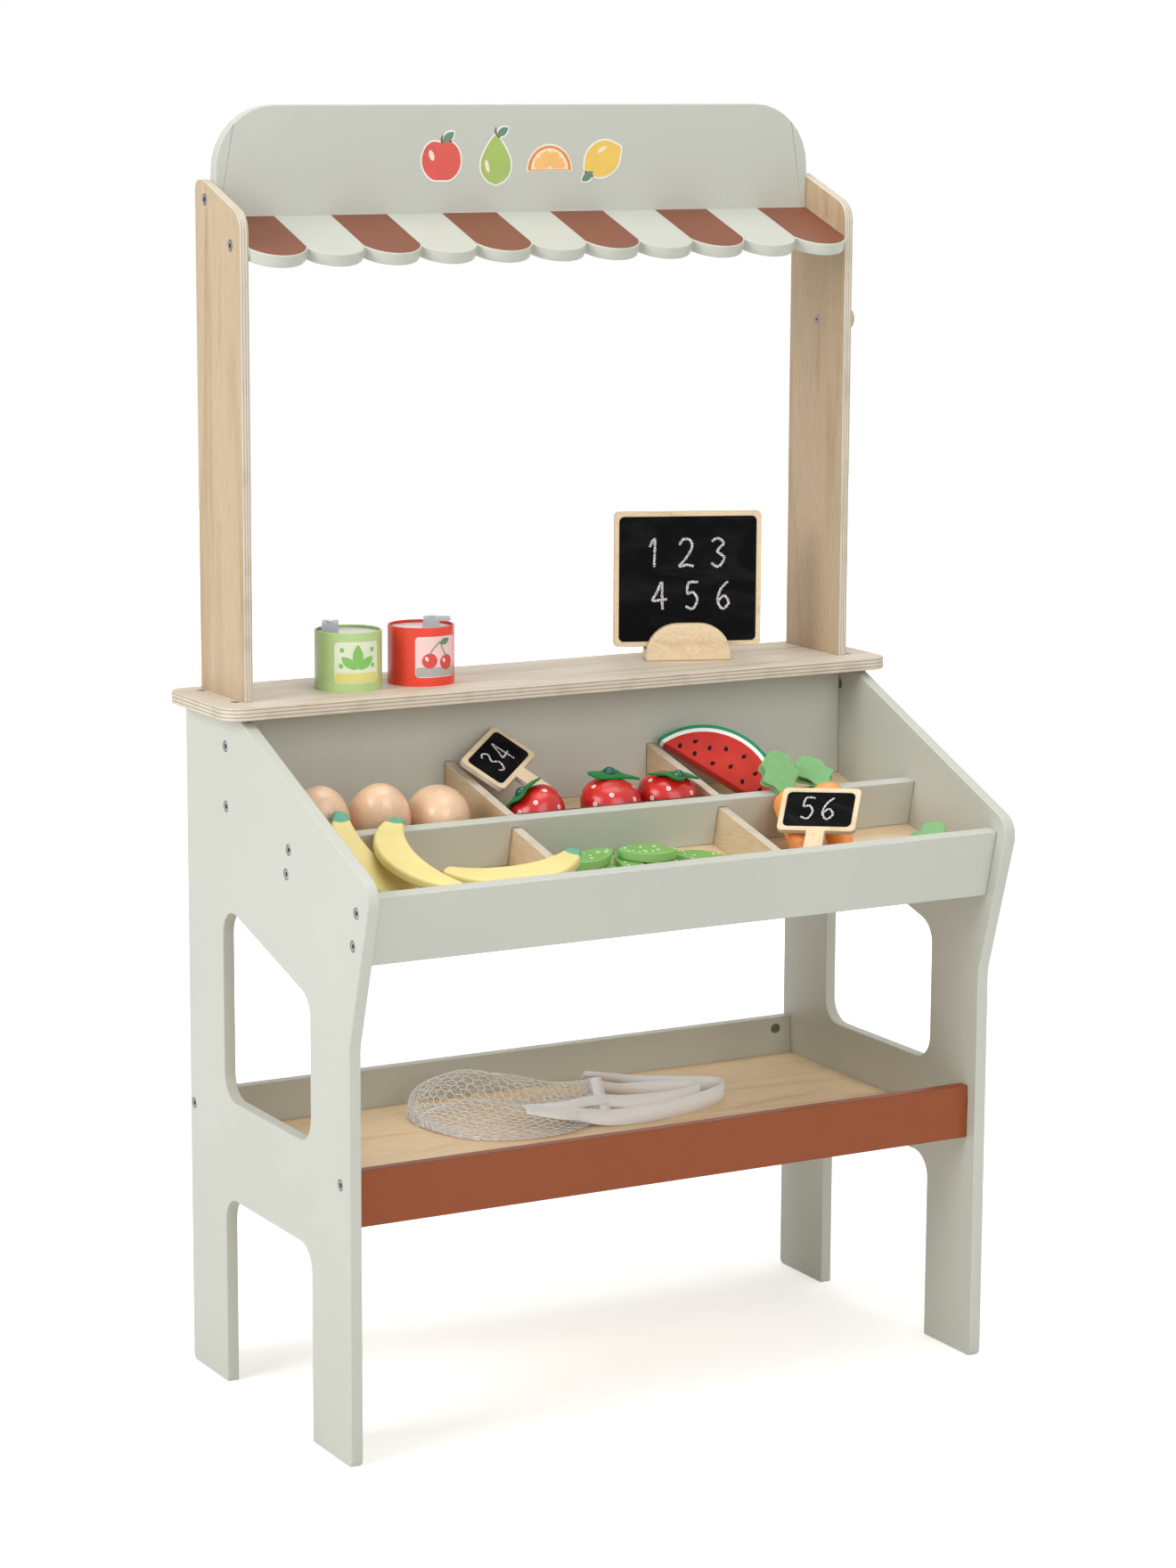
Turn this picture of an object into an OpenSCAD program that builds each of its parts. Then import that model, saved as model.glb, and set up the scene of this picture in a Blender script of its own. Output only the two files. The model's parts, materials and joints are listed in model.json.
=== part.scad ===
// Toy market stall: bolted board construction with a striped scalloped canopy,
// a sloping six-compartment bin, a lower shelf and the play goods that lie on it.
// Millimetres, +X to the right, +Y to the back, +Z up, origin under the middle.

/* [Side panels] */
// Width over the outer faces of the two side panels
panel_span = 680; // [620:5:760]
// Thickness of the painted boards
board_t = 12; // [10:0.5:14]
// Depth from the back edge to the tip of the nose
stall_depth = 393; // [385:1:410]
// Depth of one leg, front to back
leg_w = 81; // [65:1:95]
// Depth from the back edge to the front edge of the front leg
leg_front = 353; // [345:1:362]
// Height of the kink where the front leg leans out to the nose
kink_z = 386; // [350:1:410]
// Rounding of the kink
kink_r = 40; // [15:1:60]
// Height of the middle of the nose's rounding
nose_z = 523; // [518:1:534]
// Radius of the nose's rounding
nose_r = 22; // [14:1:28]
// Depth from the back edge to the start of the slope under the counter
slope_start = 122; // [118:1:135]
// Height of the lower edge of the window
window_sill_z = 280; // [274:1:300]
// Height of the window's upper edge at the back
window_top_z = 469; // [430:1:475]
// Fall of the window's upper edge towards the front, in degrees
window_tilt = 15.8; // [8:0.1:20]
// Rounding of the window corners
window_r = 24; // [10:1:32]
// Height of the gap between the legs
leg_gap_z = 184; // [150:1:205]
// Rounding at the foot corners
foot_r = 6; // [2:0.5:12]

/* [Counter] */
// Height of the serving surface
counter_z = 660; // [652:1:690]
// Overhang of the counter past the outer face of each side panel
counter_over = 20.5; // [10:0.5:40]
// Depth of the counter
counter_d = 142; // [136:1:160]
// Thickness of the counter plywood
counter_t = 12; // [10:0.5:15]
// Rounding of the counter corners
counter_r = 20; // [6:1:30]

/* [Uprights] */
// Thickness of the upright plywood
upright_t = 9; // [8:0.5:12]
// Depth of an upright
upright_d = 100; // [92:1:108]
// Distance from the back edge of the panels to the back of the uprights
upright_back = 10; // [4:1:14]
// Height of the uprights' highest edge
upright_top_z = 1134; // [1120:1:1160]
// Length of the flat part of an upright's top
upright_flat = 18; // [12:1:30]
// Fall of an upright's top towards the front, in degrees
upright_tilt = 19.9; // [10:0.1:24]
// Rounding of the front corner of an upright
upright_front_r = 22; // [8:1:30]
// Rounding of the back corner of an upright
upright_back_r = 9; // [3:1:12]

/* [Header and canopy] */
// Height of the header's upper edge
header_top_z = 1202; // [1180:1:1240]
// Height of the header's lower edge
header_bottom_z = 1086; // [1078:1:1088]
// Distance from the back edge of the panels to the back of the header
header_back = 25; // [20:1:30]
// Rounding of the header's upper corners
header_r = 60; // [20:1:70]
// Height of the canopy's upper face at the header
canopy_z = 1101; // [1098:1:1106]
// Fall of the canopy, in degrees
canopy_tilt = 19.5; // [12:0.1:24]
// Length of the canopy from the header to the valleys between the scallops
canopy_d = 78.5; // [70:0.5:90]
// Number of scallops
scallop_count = 11; // [7:2:15]
// Reach of a scallop past the valleys
scallop_reach = 19; // [12:0.5:24]

/* [Bin] */
// Depth from the back edge of the panels to the front face of the back panel
bin_back = 98; // [94:1:104]
// Height of the bin floor at the back panel
tray_back_z = 539; // [534:1:545]
// Fall of the bin floor, in degrees
tray_tilt = 13.5; // [11:0.1:15]
// Clear depth of the back row of compartments
back_row_d = 121; // [115:1:125]
// Clear depth of the front row of compartments
front_row_d = 131.5; // [126:0.5:134]
// Thickness of the floor plywood
floor_t = 6; // [4:0.5:8]
// Height of the board edge below a floor
floor_lip = 7; // [5:0.5:8]
// Depth of the grooves that hold a floor
groove_d = 4; // [2:0.5:5]
// Height of the middle rail above the floor
rail_h = 46; // [42:1:56]
// Height of the front board
front_board_h = 66; // [58:1:68]
// Thickness of the divider plywood
divider_t = 9; // [6:0.5:12]
// Height of the back dividers
back_divider_h = 45; // [36:1:46]
// Height of the front dividers
front_divider_h = 38; // [30:1:42]
// Depth of the housings that hold the dividers' ends
housing_d = 3; // [1.5:0.5:4]

/* [Lower shelf] */
// Height of the lower edge of the shelf rails
shelf_rail_z = 218; // [208:1:224]
// Height of the shelf rails
shelf_rail_h = 52; // [46:1:54]
// Setback of the back rail from the back edge of the panels
shelf_back_inset = 3; // [1:1:8]
// Setback of the front rail from the front edge of the legs
shelf_front_inset = 13; // [8:1:20]

/* [Fasteners] */
// Diameter of the bolts
bolt_d = 6; // [4:0.5:6]
// Diameter of the bolt heads
bolt_head_d = 9; // [7.5:0.5:10]
// Height of the bolt heads
bolt_head_h = 3.6; // [2.5:0.1:4]
// Width of the hexagon socket over its corners
bolt_socket_d = 5; // [3:0.5:5.5]
// Diameter of the recess round a bolt head
recess_d = 11; // [10.5:0.5:14]
// Depth of the recess round a bolt head
recess_h = 4; // [3.8:0.1:5]
// Diameter of the barrel nuts
nut_d = 10; // [9:0.5:11]
// Length of the barrel nuts
nut_l = 9.4; // [7:0.1:9.6]
// Distance from a board's end to its barrel nut
nut_inset = 18; // [14:1:24]
// Diameter of the wood screws
screw_d = 4; // [3:0.5:5]
// Length of the wood screws below the head
screw_l = 34; // [24:1:40]
// Diameter of the wood screw heads
screw_head_d = 8; // [6:0.5:9]
// Height of the wood screw heads
screw_head_h = 3; // [2:0.1:4]

/* [Bag knob] */
// Diameter of the knob's cap
knob_d = 24; // [18:1:30]
// Diameter of the knob's neck
knob_neck_d = 15; // [12:0.5:16]
// Length of the knob
knob_l = 30; // [22:1:31]
// Height of the knob above the floor
knob_z = 991; // [900:1:1040]

/* [Cans] */
// Diameter of a can
can_d = 64; // [56:1:68]
// Height of a can
can_h = 56; // [48:1:70]
// Thickness of a can's wall
can_wall = 1.2; // [0.8:0.1:2]
// Depth of the lid below the rim
lid_depth = 3; // [2:0.1:5]
// Length of a pull tab
tab_l = 26; // [20:0.5:27]
// Width of a pull tab
tab_w = 15.5; // [12:0.5:17]
// Height of a pull tab
tab_h = 10.5; // [9:0.1:13]

/* [Chalkboard and price signs] */
// Width of the chalkboard
chalk_w = 147; // [120:1:160]
// Height of the chalkboard
chalk_h = 134; // [110:1:150]
// Thickness of the chalkboard and the price signs
chalk_t = 6; // [5:0.5:8]
// Width of the wooden edge round a slate
chalk_edge = 5; // [4:0.5:8]
// Width of the chalkboard's foot
chalk_foot_w = 85; // [70:1:100]
// Height of the chalkboard's foot
chalk_foot_h = 37; // [30:1:44]
// Depth of the chalkboard's foot
chalk_foot_d = 26; // [20:1:34]
// Width of a price sign
sign_w = 76; // [64:1:78]
// Height of a price sign's plate
sign_h = 50; // [42:1:52]
// Length of a price sign's stick
sign_stick_l = 32; // [26:1:34]
// Width of a price sign's stick
sign_stick_w = 18; // [12:0.5:22]

/* [Goods] */
// Diameter of an egg
egg_d = 60; // [50:1:60]
// Length of an egg
egg_l = 75; // [62:1:76]
// Diameter of a strawberry
berry_d = 58; // [46:1:60]
// Height of a strawberry
berry_h = 56; // [44:1:57]
// Length of the watermelon slice along its cut edge
melon_l = 140; // [124:1:141]
// Height of the watermelon slice
melon_h = 51; // [46:1:53]
// Thickness of the watermelon slice
melon_t = 15; // [10:0.5:16]
// Length of a banana along its middle line
banana_l = 152; // [130:1:156]
// Width of a banana at the middle
banana_w = 34; // [26:1:35]
// Thickness of a banana
banana_t = 10.5; // [8:0.5:12]
// Length of a carrot
carrot_l = 92; // [80:1:94]
// Diameter of a carrot
carrot_d = 36; // [28:1:37]
// Length of a carrot's felt leaf
carrot_leaf_l = 44; // [34:1:46]
// Length of a pea pod
pod_l = 58; // [44:1:60]
// Width of a pea pod
pod_w = 24; // [18:1:25]
// Thickness of a pea pod
pod_t = 9.5; // [7:0.5:12]
// Diameter of the onion
onion_d = 32; // [24:1:33]
// Diameter of the garlic bulb
garlic_d = 30; // [22:1:31]

/* [Net bag] */
// Length of the bag's body
bag_l = 176; // [140:1:190]
// Width of the bag's body
bag_w = 140; // [110:1:150]
// Height of the bag as it lies
bag_h = 22; // [16:1:28]
// Length of the handles past the body
bag_handle_l = 155; // [110:1:165]
// Width of the handle band
bag_band_w = 19; // [12:1:24]

/* [Hidden] */
$fn = 48;

paint_colour = [0.85, 0.86, 0.82];
terracotta_colour = [0.62, 0.36, 0.25];
birch_colour = [0.88, 0.78, 0.62];
steel_colour = [0.62, 0.62, 0.62];
slate_colour = [0.07, 0.07, 0.08];
leaf_colour = [0.1, 0.5, 0.2];
felt_colour = [0.55, 0.8, 0.5];

// Overrun of cuts past a face
overrun = 1;
// Gap between pieces that slide into each other
fit_gap = 0.2;
// Gap under a loose piece that rests on a board
seat_gap = 0.3;
// Points on one rounded corner
corner_steps = 8;
// Points on the curve of the nose
curve_steps = 14;
// Rounding of the small corners of boards
board_corner_r = 4;

inner_x = panel_span / 2 - board_t;
inner_w = 2 * inner_x;
counter_w = panel_span + 2 * counter_over;
counter_under_z = counter_z - counter_t;
upright_in_x = inner_x - upright_t;
upright_front = upright_back + upright_d;
header_front = header_back + board_t;
header_w = 2 * upright_in_x;
scallop_pitch = header_w / scallop_count;
scallop_r = (pow(scallop_pitch / 2, 2) + pow(scallop_reach, 2)) / (2 * scallop_reach);
front_row_s = back_row_d + board_t;
front_board_s = front_row_s + front_row_d;
compartment_w = (inner_w - 2 * divider_t) / 3;
divider_x = compartment_w / 2 + divider_t / 2;
shelf_floor_z = shelf_rail_z + floor_lip + floor_t;
shelf_rail_front = leg_front - shelf_front_inset;

// Y of a place that lies a depth behind the front, measured from the back edge
function at_depth(depth) = stall_depth / 2 - depth;
function unit(v) = v / norm(v);
function turn(angle) = angle > 180 ? angle - 360 : angle < -180 ? angle + 360 : angle;

// Points of the arc that rounds corner b between its neighbours a and c
function corner_arc(a, b, c, r) =
    let (to_a = unit(a - b), to_c = unit(c - b))
    let (half = acos(to_a * to_c) / 2)
    let (middle = b + unit(to_a + to_c) * r / sin(half))
    let (first = b + to_a * r / tan(half) - middle, last = b + to_c * r / tan(half) - middle)
    let (start = atan2(first[1], first[0]), sweep = turn(atan2(last[1], last[0]) - start))
    [for (i = [0 : corner_steps])
        middle + r * [cos(start + sweep * i / corner_steps), sin(start + sweep * i / corner_steps)]];

// Outline with each corner rounded by its own radius; a radius of zero keeps the corner
function rounded(points, radii) =
    let (count = len(points))
    [for (i = [0 : count - 1])
        each (radii[i] == 0 ? [points[i]]
            : corner_arc(points[(i + count - 1) % count], points[i], points[(i + 1) % count], radii[i]))];

function rounded_box(w, h, r) =
    rounded([[-w / 2, -h / 2], [w / 2, -h / 2], [w / 2, h / 2], [-w / 2, h / 2]], [r, r, r, r]);

// Y and Z of a place in the bin: s along the floor from the back panel, n above the floor
function tray_place(s, n) = [
    at_depth(bin_back) - s * cos(tray_tilt) - n * sin(tray_tilt),
    tray_back_z - s * sin(tray_tilt) + n * cos(tray_tilt)
];

// Y and Z of a place on the canopy: s along its upper face from the header, n above it
function canopy_place(s, n) = [
    at_depth(header_front) - s * cos(canopy_tilt) - n * sin(canopy_tilt),
    canopy_z - s * sin(canopy_tilt) + n * cos(canopy_tilt)
];

// Children drawn in Y and Z, made a sheet from x to x + t
module sheet_across(x, t) {
    translate([x, 0, 0]) rotate([90, 0, 90]) linear_extrude(t) children();
}

// Children drawn in X and Z, made a sheet of thickness t whose back face is at y
module sheet_upright(y, t) {
    translate([0, y, 0]) rotate([90, 0, 0]) linear_extrude(t) children();
}

// Frame of the sloping bin: origin where its floor meets the back panel
module tray() {
    translate([0, at_depth(bin_back), tray_back_z]) rotate([tray_tilt, 0, 0]) children();
}

// A level frame at a place in the bin
module in_tray(x, s, n) {
    tray() translate([x, -s, n]) rotate([-tray_tilt, 0, 0]) children();
}

// Frame of the canopy: origin where its upper face meets the header
module canopy() {
    translate([0, at_depth(header_front), canopy_z]) rotate([canopy_tilt, 0, 0]) children();
}

// Everything behind the plane at a depth
module behind(depth) {
    translate([-counter_w, at_depth(depth), 0]) cube([2 * counter_w, stall_depth, 2 * header_top_z]);
}

// Everything below the bin floor's upper face
module below_tray() {
    tray() translate([-counter_w, -stall_depth, -stall_depth])
        cube([2 * counter_w, 2 * stall_depth, stall_depth]);
}

// Places of the bolts on the boards, as Y, Z, tilt of the barrel nut and the face it goes in from
back_panel_bolt_shares = [0.2, 0.72];
rail_bolt_shares = [0.25, 0.77];
front_board_bolt_shares = [0.28, 0.76];
shelf_bolt_share = 0.77;
header_bolt_share = 0.26;
canopy_bolt_share = 0.71;
back_panel_h = counter_under_z - tray_back_z;
lip_h = floor_t + floor_lip;
back_panel_bolts = [for (share = back_panel_bolt_shares)
    [at_depth(bin_back) + board_t / 2, tray_back_z + share * back_panel_h, 0, 1]];
rail_bolts = [for (share = rail_bolt_shares)
    concat(tray_place(front_row_s - board_t / 2, share * rail_h), [tray_tilt, 1])];
front_board_bolts = [for (share = front_board_bolt_shares)
    concat(tray_place(front_board_s + board_t / 2, share * front_board_h - lip_h), [tray_tilt, 1])];
shelf_bolt_z = shelf_rail_z + shelf_bolt_share * shelf_rail_h;
shelf_back_bolts = [[at_depth(shelf_back_inset + board_t / 2), shelf_bolt_z, 0, -1]];
shelf_front_bolts = [[at_depth(shelf_rail_front - board_t / 2), shelf_bolt_z, 0, 1]];
header_bolts = [[at_depth(header_back + board_t / 2),
    header_bottom_z + header_bolt_share * (header_top_z - header_bottom_z), 0, 1]];
canopy_bolts = [concat(canopy_place(canopy_bolt_share * canopy_d, -board_t / 2), [canopy_tilt + 90, -1])];
panel_bolt_places =
    concat(back_panel_bolts, rail_bolts, front_board_bolts, shelf_back_bolts, shelf_front_bolts);
upright_bolt_places = concat(header_bolts, canopy_bolts);
nut_seat = 0.4;
bolt_past_nut = 6;

// Hole and recess for one bolt through a board whose outer face is at x
module bolt_hole(place, x, t) {
    translate([x - t - overrun, place[0], place[1]]) rotate([0, 90, 0])
        cylinder(d = bolt_d + 2 * fit_gap, h = t + 2 * overrun);
    translate([x - recess_h, place[0], place[1]]) rotate([0, 90, 0])
        cylinder(d = recess_d, h = recess_h + overrun);
}

// Hole for a bolt in the end of a board at x, and the cross hole for its barrel nut
module nut_hole(place, x) {
    depth = nut_inset + bolt_past_nut + overrun;
    translate([x - depth, place[0], place[1]]) rotate([0, 90, 0])
        cylinder(d = bolt_d + 2 * fit_gap, h = depth + overrun);
    translate([x - nut_inset, place[0], place[1]]) rotate([place[2], 0, 0])
        translate([0, place[3] * (board_t / 2 - nut_l - nut_seat), 0]) rotate([-90 * place[3], 0, 0])
            cylinder(d = nut_d + 2 * fit_gap, h = nut_l + nut_seat + overrun);
}

module nut_holes(places, x) {
    for (place = places) {
        nut_hole(place, x);
        mirror([1, 0, 0]) nut_hole(place, x);
    }
}

// One bolt with a hexagon socket, its head seated in the recess of a board whose outer face is at x
module bolt(place, x, t) {
    shank = t - recess_h + nut_inset + bolt_past_nut;
    translate([x - recess_h, place[0], place[1]]) rotate([0, 90, 0]) difference() {
        union() {
            cylinder(d = bolt_head_d, h = bolt_head_h);
            translate([0, 0, -shank]) cylinder(d = bolt_d, h = shank + bolt_head_h / 2);
        }
        translate([0, 0, bolt_head_h / 2]) cylinder(d = bolt_socket_d, h = bolt_head_h, $fn = 6);
    }
}

// One barrel nut with its cross hole and the screwdriver slot in its outer end
module barrel_nut(place, x) {
    slot = nut_d / 6;
    translate([x - nut_inset, place[0], place[1]]) rotate([place[2], 0, 0])
        translate([0, place[3] * (board_t / 2 - nut_l - nut_seat), 0]) rotate([-90 * place[3], 0, 0])
            difference() {
                cylinder(d = nut_d, h = nut_l);
                translate([0, 0, nut_l + nut_seat - board_t / 2]) rotate([0, 90, 0])
                    cylinder(d = bolt_d + 2 * fit_gap, h = 2 * nut_d, center = true);
                translate([-nut_d, -slot / 2, nut_l - slot]) cube([2 * nut_d, slot, 2 * slot]);
            }
}

// A countersunk wood screw that points down from z
module wood_screw(length) {
    difference() {
        union() {
            translate([0, 0, -screw_head_h]) cylinder(d1 = screw_d, d2 = screw_head_d, h = screw_head_h);
            translate([0, 0, -screw_head_h - length]) cylinder(d = screw_d, h = length + screw_head_h / 2);
        }
        for (a = [0, 90]) rotate([0, 0, a]) cube([screw_d, screw_d / 4, screw_head_h], center = true);
    }
}

module wood_screw_hole(length) {
    hole_d = screw_d + 2 * fit_gap;
    translate([0, 0, -screw_head_h]) cylinder(d1 = hole_d, d2 = screw_head_d + 2 * fit_gap, h = screw_head_h);
    cylinder(d = screw_head_d + 2 * fit_gap, h = overrun);
    translate([0, 0, -screw_head_h - length - overrun]) cylinder(d = hole_d, h = length + screw_head_h);
}

// Side panels: one outline with a window and a leg gap, drawn in Y and Z
leg_inner_front = leg_front - leg_w;
nose_middle = [stall_depth - nose_r, nose_z];
// Angle at which a line from p touches the nose's rounding
function touch_angle(p, side) = let (v = nose_middle - p) atan2(v[1], v[0]) + side * acos(-nose_r / norm(v));
nose_from = touch_angle([slope_start, counter_under_z], 1);
nose_to = touch_angle([leg_front, kink_z], -1);
nose_arc = [for (i = [0 : curve_steps]) let (a = nose_from + (nose_to - nose_from) * i / curve_steps)
    [at_depth(nose_middle[0] + nose_r * cos(a)), nose_z + nose_r * sin(a)]];
panel_outline = rounded(
    concat([[at_depth(0), 0], [at_depth(0), counter_under_z], [at_depth(slope_start), counter_under_z]],
        nose_arc, [[at_depth(leg_front), kink_z], [at_depth(leg_front), 0]]),
    concat([foot_r, 0, 0], [for (point = nose_arc) 0], [kink_r, foot_r]));
window_front_z = window_top_z - (leg_inner_front - leg_w) * tan(window_tilt);
window_outline = rounded(
    [[at_depth(leg_w), window_sill_z], [at_depth(leg_w), window_top_z],
     [at_depth(leg_inner_front), window_front_z], [at_depth(leg_inner_front), window_sill_z]],
    [window_r, window_r, window_r, window_r]);
gap_outline = rounded(
    [[at_depth(leg_w), -foot_r], [at_depth(leg_w), leg_gap_z],
     [at_depth(leg_inner_front), leg_gap_z], [at_depth(leg_inner_front), -foot_r]],
    [0, window_r, window_r, 0]);
counter_screw_shares = [0.17, 0.72];
counter_screw_x = inner_x + board_t / 2;
spare_hole_d = 9;
spare_hole_depth = board_t / 2;
spare_hole_share = 0.83;

module side_panel() {
    difference() {
        sheet_across(inner_x, board_t) difference() {
            polygon(panel_outline);
            polygon(window_outline);
            polygon(gap_outline);
        }
        for (place = panel_bolt_places) bolt_hole(place, panel_span / 2, board_t);
        floor_cut(groove_d + fit_gap);
        for (share = counter_screw_shares)
            translate([counter_screw_x, at_depth(share * counter_d), counter_z]) wood_screw_hole(screw_l);
        translate([inner_x - overrun, at_depth(bin_back), tray_back_z + spare_hole_share * back_panel_h])
            rotate([0, 90, 0]) cylinder(d = spare_hole_d, h = spare_hole_depth + overrun);
    }
}

module left_side_panel() { color(paint_colour) mirror([1, 0, 0]) side_panel(); }
module right_side_panel() { color(paint_colour) side_panel(); }

// Counter, with the screws that hold it to the panels and those that hold the uprights to it
upright_screw_shares = [0.25, 0.75];

// Frames at the screws of the right upright, which point up from below the counter
module each_upright_screw() {
    for (share = upright_screw_shares)
        translate([upright_in_x + upright_t / 2, at_depth(upright_back + share * upright_d), counter_under_z])
            mirror([0, 0, 1]) children();
}

module each_counter_screw() {
    for (side = [0, 1]) mirror([side, 0, 0]) {
        for (share = counter_screw_shares)
            translate([counter_screw_x, at_depth(share * counter_d), counter_z]) children();
        each_upright_screw() children();
    }
}

module counter_top() {
    color(birch_colour) difference() {
        translate([0, at_depth(counter_d / 2), counter_under_z]) linear_extrude(counter_t)
            polygon(rounded_box(counter_w, counter_d, counter_r));
        each_counter_screw() wood_screw_hole(screw_l);
    }
}

module counter_screws() {
    color(steel_colour) each_counter_screw() wood_screw(screw_l);
}

// Uprights, drawn in Y and Z
upright_corner_z = upright_top_z - (upright_d - upright_flat) * tan(upright_tilt);
upright_outline = rounded(
    [[at_depth(upright_back), counter_z], [at_depth(upright_front), counter_z],
     [at_depth(upright_front), upright_corner_z], [at_depth(upright_back + upright_flat), upright_top_z],
     [at_depth(upright_back), upright_top_z]],
    [0, 0, upright_front_r, board_corner_r, upright_back_r]);

module upright() {
    difference() {
        sheet_across(upright_in_x, upright_t) polygon(upright_outline);
        for (place = upright_bolt_places) bolt_hole(place, inner_x, upright_t);
        each_upright_screw() wood_screw_hole(screw_l);
    }
}

module left_upright() { color(birch_colour) mirror([1, 0, 0]) upright(); }
module right_upright() {
    color(birch_colour) difference() {
        upright();
        at_knob() mirror([0, 0, 1]) translate([0, 0, upright_t]) wood_screw_hole(knob_screw_l);
    }
}

// Knob on the outer face of the right upright, screwed on from the inner face
knob_depth_share = 0.5;
knob_screw_share = 0.6;
knob_screw_l = upright_t + knob_screw_share * knob_l - screw_head_h;
knob_cap_share = 0.5;
knob_round_share = 0.35;
knob_outline =
    let (cap_z = (1 - knob_cap_share) * knob_l, round_r = knob_round_share * knob_cap_share * knob_l)
    rounded([[0, 0], [knob_neck_d / 2, 0], [knob_neck_d / 2, cap_z - round_r], [knob_d / 2, cap_z],
             [knob_d / 2, knob_l], [0, knob_l]],
        [0, 0, round_r, round_r / 2, round_r, 0]);

// Frame at the knob's foot, pointing out of the upright
module at_knob() {
    translate([inner_x, at_depth(upright_back + knob_depth_share * upright_d), knob_z])
        rotate([0, 90, 0]) children();
}

module bag_knob() {
    color(birch_colour) at_knob() difference() {
        rotate_extrude() polygon(knob_outline);
        translate([0, 0, -overrun])
            cylinder(d = screw_d + 2 * fit_gap, h = knob_screw_share * knob_l + overrun + seat_gap);
    }
}

module knob_screw() {
    color(steel_colour) at_knob() mirror([0, 0, 1]) translate([0, 0, upright_t]) wood_screw(knob_screw_l);
}

// Header board and canopy board
header_outline = rounded(
    [[-header_w / 2, header_bottom_z], [header_w / 2, header_bottom_z],
     [header_w / 2, header_top_z], [-header_w / 2, header_top_z]],
    [board_corner_r, board_corner_r, header_r, header_r]);

module header_board() {
    color(paint_colour) difference() {
        sheet_upright(at_depth(header_back), board_t) polygon(header_outline);
        nut_holes(header_bolts, upright_in_x);
    }
}

module canopy_outline() {
    translate([-header_w / 2, -canopy_d]) square([header_w, canopy_d + board_t]);
    intersection() {
        for (i = [0 : scallop_count - 1])
            translate([i * scallop_pitch + (scallop_pitch - header_w) / 2, -canopy_d - scallop_reach])
                translate([0, scallop_r]) circle(r = scallop_r);
        translate([-header_w / 2, -canopy_d - scallop_reach]) square([header_w, canopy_d]);
    }
}

module canopy_board() {
    color(terracotta_colour) difference() {
        canopy() translate([0, 0, -board_t]) linear_extrude(board_t) canopy_outline();
        behind(header_front);
        nut_holes(canopy_bolts, upright_in_x);
    }
}

// Bin: back panel, floor, middle rail, front board and four dividers
module floor_cut(grip) {
    tray() translate([-inner_w / 2 - grip, -front_board_s - grip, -floor_t])
        cube([inner_w + 2 * grip, front_board_s + board_t + 2 * grip, floor_t + fit_gap]);
}

module bin_floor() {
    color(birch_colour) tray() translate([-inner_w / 2 - groove_d, -front_board_s - groove_d, -floor_t])
        cube([inner_w + 2 * groove_d, front_board_s + groove_d + board_t, floor_t]);
}

module back_divider(side, gap) {
    difference() {
        tray() translate([side * divider_x - divider_t / 2 - gap, -back_row_d - housing_d - gap, 0])
            cube([divider_t + 2 * gap, back_row_d + housing_d + back_divider_h, back_divider_h + gap]);
        behind(bin_back - housing_d - gap);
    }
}

module front_divider(side, gap) {
    tray() translate([side * divider_x - divider_t / 2 - gap, -front_board_s - housing_d - gap, 0])
        cube([divider_t + 2 * gap, front_row_d + 2 * housing_d + 2 * gap, front_divider_h + gap]);
}

module back_left_divider() { color(birch_colour) back_divider(-1, 0); }
module back_right_divider() { color(birch_colour) back_divider(1, 0); }
module front_left_divider() { color(birch_colour) front_divider(-1, 0); }
module front_right_divider() { color(birch_colour) front_divider(1, 0); }

module back_panel() {
    color(paint_colour) difference() {
        translate([-inner_w / 2, at_depth(bin_back), tray_back_z - back_panel_h])
            cube([inner_w, board_t, 2 * back_panel_h]);
        below_tray();
        for (side = [-1, 1]) back_divider(side, fit_gap);
        nut_holes(back_panel_bolts, inner_x);
    }
}

module middle_rail() {
    color(paint_colour) difference() {
        tray() translate([-inner_w / 2, -front_row_s, 0]) cube([inner_w, board_t, rail_h]);
        for (side = [-1, 1]) {
            back_divider(side, fit_gap);
            front_divider(side, fit_gap);
        }
        nut_holes(rail_bolts, inner_x);
    }
}

module front_board() {
    color(paint_colour) difference() {
        tray() translate([-inner_w / 2, -front_board_s - board_t, -lip_h])
            cube([inner_w, board_t, front_board_h]);
        floor_cut(groove_d + fit_gap);
        for (side = [-1, 1]) front_divider(side, fit_gap);
        nut_holes(front_board_bolts, inner_x);
    }
}

// Lower shelf: two rails with grooves that hold a plywood floor
module shelf_cut(grip) {
    y_front = at_depth(shelf_rail_front - board_t) - grip;
    y_back = at_depth(shelf_back_inset + board_t) + grip;
    translate([-inner_w / 2 + fit_gap, y_front, shelf_floor_z - floor_t])
        cube([inner_w - 2 * fit_gap, y_back - y_front, floor_t]);
}

module shelf_groove() {
    y_front = at_depth(shelf_rail_front - board_t) - groove_d - fit_gap;
    y_back = at_depth(shelf_back_inset + board_t) + groove_d + fit_gap;
    translate([-inner_w / 2 - overrun, y_front, shelf_floor_z - floor_t])
        cube([inner_w + 2 * overrun, y_back - y_front, floor_t + fit_gap]);
}

module shelf_rail(front_depth, bolts) {
    difference() {
        translate([-inner_w / 2, at_depth(front_depth), shelf_rail_z]) cube([inner_w, board_t, shelf_rail_h]);
        shelf_groove();
        nut_holes(bolts, inner_x);
    }
}

module shelf_back_rail() { color(paint_colour) shelf_rail(shelf_back_inset + board_t, shelf_back_bolts); }
module shelf_front_rail() { color(terracotta_colour) shelf_rail(shelf_rail_front, shelf_front_bolts); }
module shelf_floor() { color(birch_colour) shelf_cut(groove_d); }

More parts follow.
